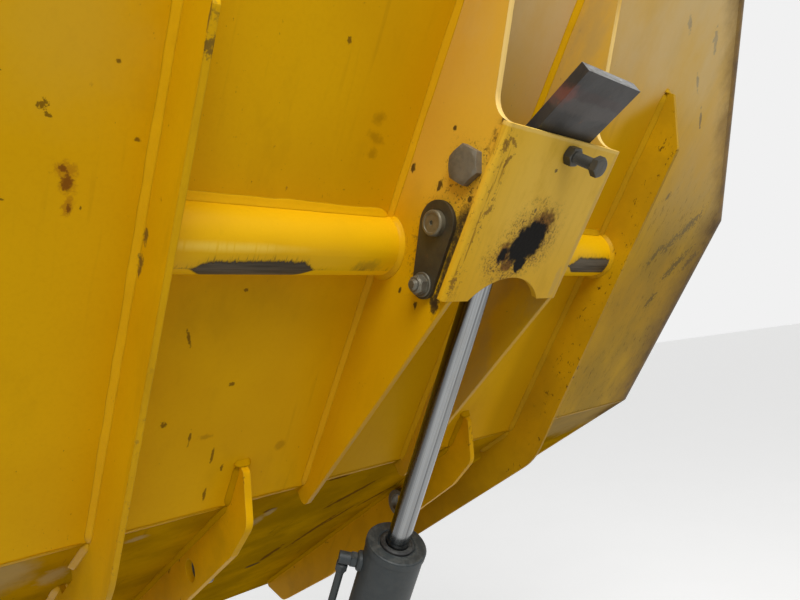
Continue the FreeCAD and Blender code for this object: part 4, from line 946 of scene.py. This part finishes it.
# A cross tube: its nose is worn flat and bare along a ragged patch; its coat is painted lighter, most on its
# lower side, as painted light, and a painted highlight runs along it.
def tube_marks(n, flat, rough_spots, height):
    at = n.parts(flat)
    # Painted light: the coat is made lighter, by a fifth on the upper side and by three quarters on the lower
    # side towards the hinge.
    low = n.step(at[0], -0.672, -0.640)
    n.lay(n.blend(low, 0.20, 0.75), (0.98, 0.60, 0.002))
    combed = n.noise(n.stretch(flat, 10.0, 210.0, 30.0), 1.0, 4.0, 0.72)
    slow = n.noise(n.stretch(flat, 1.0, 18.0, 1.0), 1.0, 2.0, 0.5)
    across = n.plus(n.plus(at[0], (HINGE_AHEAD + 437) / 1000), n.step(at[1], 0.0, -0.2, 0.0, 0.021))
    left_end = n.step(n.sum("ABSOLUTE", n.plus(at[1], -0.340)), 0.060, 0.088, 0.0, 0.016)
    right_end = n.step(n.sum("ABSOLUTE", n.plus(at[1], 0.430)), 0.085, 0.118, 0.0, 0.016)
    taper = n.sum("MINIMUM", left_end, right_end)
    lift = n.plus(n.times(n.sum("SUBTRACT", combed, 0.5), 0.016),
                  n.times(n.sum("SUBTRACT", slow, 0.5), 0.010))
    upper_line = n.sum("SUBTRACT", n.plus(0.0135, n.times(lift, -1.0)), n.times(taper, 1.0))
    above = n.sum("SUBTRACT", n.times(across, -1.0), upper_line)
    lower = n.sum("SUBTRACT", across, n.step(at[1], 0.0, -0.2, 0.0125, 0.0185))
    lower = n.plus(lower, n.times(taper, 0.9))
    bare = n.times(n.step(above, 0.0006, -0.0008), n.step(lower, 0.0006, -0.0006))
    rim = n.times(n.step(above, 0.0150, 0.0010), n.step(lower, 0.0032, 0.0004))
    combs = n.step(combed, 0.52, 0.64)
    n.lay(n.times(rim, n.blend(combs, 0.10, 0.85)), (0.10, 0.055, 0.006))
    rim = n.times(n.step(above, 0.0035, 0.0005), n.step(lower, 0.0025, 0.0004))
    n.lay(rim, (0.07, 0.042, 0.008), 0.6)
    brushed = n.noise(n.stretch(flat, 160.0, 7.0, 160.0), 1.0, 4.0, 0.62)
    steel = n.mix(n.step(brushed, 0.35, 0.7), (0.050, 0.040, 0.026), (0.125, 0.105, 0.075))
    n.lay(bare, steel)
    black_line = n.times(bare, n.most(n.step(above, -0.0022, -0.0006), n.step(lower, -0.0018, -0.0004)))
    n.lay(black_line, (0.020, 0.014, 0.008), 0.75)
    smear = n.spot(flat, (-172, 446, 45), (20, 9, 60), 0, 1.2, 70.0, 0.6)
    n.lay(smear, (0.22, 0.13, 0.02), 0.45)
    # A painted highlight: a pale line along the tube, fainter where the comb marks are.
    painted_highlight = n.spot(flat, (-385, 468, 46), (75, 4.5, 60), 0, 0.5, 14.0, 0.9)
    painted_highlight = n.times(painted_highlight, n.blend(combs, 0.42, 0.15))
    n.lay(painted_highlight, (0.95, 0.73, 0.14))
    return n.most(rough_spots, n.times(bare, 0.6)), height


# A rib: chips along its outer edge, a rust spot at its knee, knocks on the right one, and painted shade as a
# darker film on the right one.
def rib_marks(n, flat, rough_spots, height):
    at = n.parts(flat)
    chips = n.spots(flat, "aside", -466, [
        (464, 14, 10, 5, 0, 1.4, 150.0, 0.3),
        (431, 13, 9, 6, 0, 1.6, 150.0, 0.3),
        (419, 12, 5, 3, 0, 1.6, 150.0, 0.3),
        (700, 69.5, 12, 1.6, 14, 0.9, 230.0, 0.3),
        (676, 73, 8, 2.5, 0, 1.9, 230.0, 0.4),
        (660, 76, 5, 2.0, 0, 1.9, 230.0, 0.4)])
    n.lay(chips, (0.11, 0.068, 0.018), 0.8)
    worn_edge = n.step(at[2], -0.134, -0.139)
    edge_dots = n.times(worn_edge, n.step(n.noise(flat, 75.0, 6.0, 0.7), 0.58, 0.66, 0.0, 0.5))
    n.lay(n.times(edge_dots, n.step(at[1], -0.2, 0.2)), (0.20, 0.125, 0.03))
    rust = n.spot(flat, (-466, 34, 99), (60, 9, 6), 0, 1.2, 150.0, 0.3)
    n.lay(rust, (0.12, 0.035, 0.012), 0.9)
    outer = n.step(at[2], -0.10, -0.135)
    grain = n.noise(n.stretch(flat, 3.0, 20.0, 20.0, (1.0, 1.0, 1.0)), 2.0, 5.0, 0.65)
    n.lay(n.times(outer, n.step(grain, 0.42, 0.64, 0.0, 0.25)), (0.36, 0.19, 0.006))
    right = n.step(at[1], -0.3, -0.4)
    knocks = n.noise(n.stretch(flat, 1.0, 1.0, 1.7, (2.0, 2.0, 2.0)), 62.0, 6.0, 0.7)
    knocks = n.times(n.step(knocks, 0.60, 0.66, 0.0, 0.85), n.step(at[2], -0.078, -0.096))
    film = n.noise(n.shift(flat, 8.0, 2.0, 2.0), 6.0, 5.0, 0.6)
    # Painted shade: a darker yellow film on the right rib and on the welds that use these marks.
    n.lay(n.times(right, n.step(film, 0.32, 0.60, 0.35, 0.70)), (0.33, 0.185, 0.006))
    n.lay(n.times(knocks, right), (0.065, 0.030, 0.005))
    return n.most(rough_spots, chips, rust), height


# A lug on the ramp: dusty, with rust along its foot.
def lug_marks(n, flat, rough_spots, height):
    film = n.noise(n.shift(flat, 1.0, 6.0, 3.0), 9.0, 5.0, 0.6)
    n.lay(n.step(film, 0.42, 0.66, 0.0, 0.20), (0.30, 0.16, 0.006))
    turned_flat = n.place(flat, (HINGE_AHEAD / 1000, 0, HINGE_ABOVE / 1000))
    at = n.parts(n.place(turned_flat, turn=(0, RAMP_ANGLE, 0)))
    foot = n.step(at[2], -0.030, -0.006)
    grit = n.noise(flat, 36.0, 6.0, 0.66)
    rust = n.times(n.step(n.plus(grit, n.times(foot, 0.06)), 0.66, 0.74), 0.7)
    n.lay(rust, (0.10, 0.045, 0.012))
    return n.most(rough_spots, rust), height


# A folded wall: painted shade on its bend, and dust on its outside.
def wall_marks(n, flat, rough_spots, height):
    at = n.parts(flat)
    gap = edge_gap(n, at, n.sum("SUBTRACT", -HINGE_AHEAD / 1000, at[0]))
    film = n.noise(n.shift(flat, 5.0, 3.0, 7.0), 8.0, 5.0, 0.6)
    risen = n.plus(at[2], n.times(film, 0.05))
    # Painted shade: darker towards the foot of the wall, at its bend.
    n.lay(n.step(risen, 0.10, -0.02, 0.0, 0.55), (0.13, 0.075, 0.010))
    washed = n.noise(n.stretch(flat, 3.0, 3.0, 0.8, (5.0, 3.0, 7.0)), 5.0, 6.0, 0.68)
    n.lay(n.step(washed, 0.44, 0.74, 0.0, 0.30), DUST)
    # Painted shade along the bends.
    painted_bend_shade(n, flat, gap)
    return rough_spots, height


# Steel in the bracket, with brown film and rust spots. Lane stretches the film along one direction.
def steel(name, light, dark, rust=0.3, metal=0.55, rough=0.45, film=(0.09, 0.07, 0.035),
          lane=(30.0, 30.0, 30.0),
          marks=None):
    n = Nodes(name)
    at = n.node("ShaderNodeTexCoord").outputs["Object"]
    flat = n.place(at, turn=(0, -TIP_ANGLE, 0))
    cloud = n.noise(flat, 24.0, 5.0, 0.62)
    n.colour = n.mix(n.step(cloud, 0.35, 0.68), light, dark)
    fine = n.noise(n.stretch(flat, *lane), 4.0, 4.0, 0.65)
    n.lay(n.step(fine, 0.40, 0.72, 0.0, 0.5), film)
    spots = n.noise(n.shift(flat, 3.0, 3.0, 1.0), 62.0, 5.0, 0.65)
    spots = n.step(spots, 0.64 - 0.08 * rust, 0.74 - 0.08 * rust)
    n.lay(n.times(spots, 0.5 + 0.4 * rust), (0.11, 0.05, 0.02))
    edge, rounded = n.edges(0.0012, 0.98, 0.85)
    lighter = tuple(min(1.0, c * 1.8) for c in light)
    n.lay(edge, lighter, 0.6)
    if marks:
        marks(n, flat)
    n.feed(n.shader.inputs["Base Color"], n.colour)
    n.feed(n.shader.inputs["Roughness"], n.plus(rough, n.times(n.sum("SUBTRACT", cloud, 0.5), 0.3)))
    n.shader.inputs["Metallic"].default_value = metal
    n.feed(n.shader.inputs["Normal"], n.bump(n.noise(flat, 300.0, 4.0, 0.6), 0.35, 0.0005, rounded))
    return n.material


# The lever is flame-cut: lighter and scratched at its end, with a rust blush and bands across it.
def lever_marks(n, flat):
    turn = math.radians(26.0)
    to_end = n.place(flat, ((HINGE_AHEAD + CLAMP_AT) / 1000, 0, (HINGE_ABOVE + CLAMP_DEPTH) / 1000))
    at = n.parts(n.place(to_end, turn=(0, turn, 0)))
    reach = n.times(at[0], -1.0)
    wobble = n.times(n.sum("SUBTRACT", n.noise(flat, 40.0, 5.0, 0.66), 0.5), 0.020)
    ragged = n.plus(reach, wobble)
    normal = n.place(n.node("ShaderNodeNewGeometry").outputs["Normal"], turn=(0, -TIP_ANGLE, 0))
    normal = n.parts(n.place(normal, turn=(0, turn, 0)))
    tip = n.step(normal[0], -0.5, -0.8)
    scratch = n.noise(n.place(flat, (0, 0, 0), (0, 0, 0.5), (240.0, 30.0, 60.0)), 1.0, 5.0, 0.7)
    n.lay(n.times(tip, n.step(scratch, 0.36, 0.56, 0.35, 0.9)), (0.23, 0.24, 0.245))
    n.lay(n.times(tip, n.step(scratch, 0.58, 0.68)), (0.52, 0.55, 0.58))
    band = n.times(n.step(ragged, 0.106, 0.113), n.step(ragged, 0.134, 0.127))
    n.lay(band, (0.095, 0.080, 0.072), 0.45)
    dark_band = n.times(n.step(ragged, 0.127, 0.133), n.step(ragged, 0.146, 0.141))
    n.lay(dark_band, (0.045, 0.026, 0.022), 0.6)
    blush = n.spot(flat, (-58, 737, 166), (12, 11, 40), 0, 1.2, 70.0, 0.6)
    n.lay(blush, (0.17, 0.055, 0.040), 0.75)


# Chrome rod: bright, with fine lines along it and a film of old grease.
def chrome(name):
    n = Nodes(name)
    at = n.node("ShaderNodeTexCoord").outputs["Object"]
    flat = n.place(at, turn=(0, -TIP_ANGLE - RAM_ANGLE, 0))
    lines = n.noise(n.stretch(flat, 1.0, 330.0, 330.0), 1.0, 4.0, 0.66)
    bands = n.noise(n.stretch(flat, 0.8, 95.0, 95.0, (2.0, 1.0, 4.0)), 1.0, 2.0, 0.5)
    n.colour = n.mix(n.step(lines, 0.42, 0.64, 0.0, 0.75), (0.27, 0.28, 0.285), (0.10, 0.102, 0.104))
    n.lay(n.step(bands, 0.48, 0.62, 0.0, 0.6), (0.095, 0.097, 0.10))
    film = n.noise(n.stretch(flat, 3.0, 30.0, 30.0), 1.0, 4.0, 0.6)
    n.lay(n.step(film, 0.52, 0.75, 0.0, 0.35), (0.17, 0.15, 0.11))
    n.feed(n.shader.inputs["Base Color"], n.colour)
    n.shader.inputs["Metallic"].default_value = 1.0
    n.feed(n.shader.inputs["Roughness"], n.step(film, 0.3, 0.75, 0.14, 0.34))
    n.feed(n.shader.inputs["Normal"], n.bump(lines, 0.08, 0.0003))
    return n.material


# Charcoal paint on the ram: satin, with dust on its upper faces and small chips.
def charcoal(name, base=(0.021, 0.027, 0.029), rough=0.42, gloss=0.4):
    n = Nodes(name)
    at = n.node("ShaderNodeTexCoord").outputs["Object"]
    broad = n.noise(at, 9.0, 4.0, 0.55)
    n.colour = n.mix(n.step(broad, 0.38, 0.68, 0.0, 0.6), base, tuple(c * 1.6 for c in base))
    dust = n.noise(at, 75.0, 6.0, 0.66)
    normal = n.parts(n.node("ShaderNodeNewGeometry").outputs["Normal"])
    upward = n.step(normal[2], 0.1, 0.8, 0.14, 0.55)
    n.lay(n.times(n.step(dust, 0.40, 0.64), upward), (0.095, 0.098, 0.090))
    specks = n.step(n.noise(at, 210.0, 3.0, 0.6), 0.66, 0.72, 0.0, 0.5)
    n.lay(specks, (0.015, 0.015, 0.014))
    chip = n.step(n.noise(at, 85.0, 5.0, 0.6), 0.70, 0.73)
    n.lay(chip, (0.14, 0.10, 0.07))
    n.feed(n.shader.inputs["Base Color"], n.colour)
    n.feed(n.shader.inputs["Roughness"], n.plus(rough, n.times(dust, 0.2)))
    n.shader.inputs["Specular IOR Level"].default_value = gloss
    rounded = n.edges(0.0012)[1]
    n.feed(n.shader.inputs["Normal"], n.bump(n.noise(at, 380.0, 3.0, 0.5), 0.25, 0.0005, rounded))
    return n.material


MADE = {
    "floor": paint("sheet_paint", sheet_marks, 0.5, 1.0, True, 1.0, 0.05),
    # The ramp's coat is darkened to 0.77 of the yellow: painted shade standing in for the machine's shadow
    # over it.
    "ramp": paint("ramp_paint", ramp_marks, 0.8, 1.0, True, 0.77, 0.0),
    "wall": paint("wall_paint", wall_marks, 0.6, 1.0, True, 1.0, 0.1),
    "rim": paint("rim_paint", None, 0.7, 2.0),
    "rib": paint("rib_paint", rib_marks, 0.4, 1.0, False, 0.97, 0.08, 0.30),
    "cheek": paint("cheek_paint", cheek_marks, 0.45, 1.0, False, 0.99, 0.10, 0.30),
    "plate": paint("plate_paint", plate_marks, 0.4, 0.4, False, 1.0, 0.10),
    "tube": paint("tube_paint", tube_marks, 0.3, 0.6, False, 1.0, 0.15),
    # The lugs' coat is 1.12 times the yellow: painted light, a lit copy of the paint.
    "lug": paint("lug_paint", lug_marks, 0.5, 1.0, False, 1.12, 0.05, 0.8),
    "weld": paint("weld_paint", rib_marks, 0.3, 0.4, False, 1.0, 0.08, 0.06),
    # Painted shade: a darker copy of the weld paint for the right rib's welds.
    "shaded_weld": paint("shaded_weld_paint", rib_marks, 0.5, 0.4, False, 0.86, 0.05, 0.03),
    # Painted shade: the lug welds get a darker copy of the paint, 0.76 of the yellow.
    "low_weld": paint("low_weld_paint", None, 0.8, 0.6, False, 0.76, 0.0, 0.05),
    "clamp": steel("clamp_steel", (0.165, 0.148, 0.110), (0.10, 0.088, 0.060), 0.2, 0.25, 0.5,
                   (0.20, 0.17, 0.11)),
    "flag": steel("flag_steel", (0.055, 0.044, 0.022), (0.034, 0.026, 0.013), 0.2, 0.2, 0.5,
                  (0.050, 0.040, 0.018)),
    "lever": steel("lever_steel", (0.034, 0.032, 0.030), (0.020, 0.019, 0.018), 0.1, 0.1, 0.5,
                   (0.050, 0.040, 0.034), (4.0, 20.0, 20.0), lever_marks),
    "bolt": steel("bolt_steel", (0.060, 0.058, 0.048), (0.035, 0.034, 0.030), 0.3, 0.4, 0.45),
    "bare": steel("bare_steel", (0.17, 0.16, 0.125), (0.095, 0.088, 0.066), 0.3, 0.5, 0.42),
    "pin": steel("pin_steel", (0.165, 0.142, 0.088), (0.105, 0.088, 0.052), 0.2, 0.4, 0.45,
                 (0.09, 0.075, 0.04)),
    "chrome": chrome("rod_chrome"),
    "charcoal": charcoal("ram_charcoal"),
    "rubber": charcoal("seal_rubber", (0.010, 0.010, 0.010), 0.5),
}
NODE_MATERIALS = {
    "floor_sheet": "floor", "ramp_sheet": "ramp", "lip_bar": "ramp", "rear_wall": "wall", "rim_rear": "rim",
    "strike_plate": "plate", "flag_plate": "flag", "clamp_bolt": "clamp", "clamp_nut": "clamp",
    "set_screw": "bolt", "lock_nut": "bolt", "flag_stud": "bare", "bracket_pin": "pin", "stop_lever": "lever",
    "ram_rod": "chrome", "ram_gland": "charcoal", "ram_barrel": "charcoal", "ram_base": "charcoal",
    "ram_foot": "charcoal", "feed_pipe": "charcoal",
}
PAIR_MATERIALS = {
    "side_wall": "wall", "corner_wall": "wall", "wing": "wall", "rim_side": "rim", "rim_corner": "rim",
    "rim_wing": "rim", "rib": "rib", "cheek": "cheek", "cross_tube": "tube", "hinge_lug": "lug",
    "hinge_bush": "bare", "pin_boss": "cheek",
}
PIECE_MATERIALS = {
    "rib_welds_right": "shaded_weld", "lug_welds_left": "low_weld", "lug_welds_right": "low_weld",
    "clamp_bolt_detail": "clamp", "clamp_nut_detail": "clamp", "bracket_pin_detail": "pin",
    "flag_stud_detail": "bare", "set_screw_detail": "bolt", "lock_nut_detail": "bolt",
    "gland_collar": "charcoal", "wiper_seal": "rubber", "gland_groove": "rubber", "base_weld": "charcoal",
    "port_bosses": "charcoal", "union_nuts": "charcoal",
}
for name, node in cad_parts.items():
    stem = name[:-5] if name.endswith("_left") else name[:-6] if name.endswith("_right") else name
    choice = NODE_MATERIALS.get(name) or PAIR_MATERIALS[stem]
    node.material_slots[0].material = MADE[choice]
for name, piece in pieces.items():
    piece.data.materials.append(MADE[PIECE_MATERIALS.get(name, "weld")])

mesh = bpy.data.meshes.new("floor")
corners = [(x * GROUND_REACH, y * GROUND_REACH, GROUND_HEIGHT) for x,
           y in ((-1, -1), (1, -1), (1, 1), (-1, 1))]
mesh.from_pydata(corners, [], [(0, 1, 2, 3)])
ground = bpy.data.objects.new("studio_floor", mesh)
bpy.context.scene.collection.objects.link(ground)
ground_nodes = Nodes("studio_floor")
paths = ground_nodes.node("ShaderNodeLightPath")
seen = ground_nodes.most(paths.outputs["Is Camera Ray"], paths.outputs["Is Glossy Ray"],
                         paths.outputs["Is Transmission Ray"])
speckle = ground_nodes.noise(ground_nodes.node("ShaderNodeTexCoord").outputs["Object"], 3.0, 3.0, 0.5)
shown = ground_nodes.mix(speckle, (0.86, 0.86, 0.85), (0.90, 0.90, 0.89))
ground_nodes.feed(ground_nodes.shader.inputs["Base Color"], ground_nodes.mix(seen, (0.52, 0.51, 0.49), shown))
ground_nodes.shader.inputs["Emission Color"].default_value = (1.0, 1.0, 1.0, 1.0)
ground_nodes.feed(ground_nodes.shader.inputs["Emission Strength"], ground_nodes.times(seen, 0.30))
ground_nodes.shader.inputs["Roughness"].default_value = 0.9
ground_nodes.shader.inputs["Specular IOR Level"].default_value = 0.1
mesh.materials.append(ground_nodes.material)

world = bpy.data.worlds.new("World")
bpy.context.scene.world = world
world.use_nodes = True
backdrop = world.node_tree.nodes["Background"]
backdrop.inputs["Color"].default_value = (1, 1, 1, 1)
paths = world.node_tree.nodes.new("ShaderNodeLightPath")
strength = world.node_tree.nodes.new("ShaderNodeMapRange")
either = world.node_tree.nodes.new("ShaderNodeMath")
either.operation = "MAXIMUM"
any_seen = world.node_tree.nodes.new("ShaderNodeMath")
any_seen.operation = "MAXIMUM"
world.node_tree.links.new(paths.outputs["Is Camera Ray"], either.inputs[0])
world.node_tree.links.new(paths.outputs["Is Glossy Ray"], either.inputs[1])
world.node_tree.links.new(either.outputs[0], any_seen.inputs[0])
world.node_tree.links.new(paths.outputs["Is Transmission Ray"], any_seen.inputs[1])
world.node_tree.links.new(any_seen.outputs[0], strength.inputs["Value"])
strength.inputs["To Min"].default_value = SKY_LIGHT
strength.inputs["To Max"].default_value = SKY_SHOWN
world.node_tree.links.new(strength.outputs[0], backdrop.inputs["Strength"])

sky = bpy.data.lights.new("sky_panel", "AREA")
sky.shape = "DISK"
sky.size = 2.4
sky.energy = LAMP_POWER
lamp = bpy.data.objects.new("sky_panel", sky)
lamp.location = (-3.0, 1.2, 2.9)
lamp.rotation_euler = (Vector((-0.3, 0.1, 0.1)) - Vector(lamp.location)).to_track_quat("-Z", "Y").to_euler()
bpy.context.scene.collection.objects.link(lamp)
bpy.context.scene.view_settings.view_transform = "Standard"
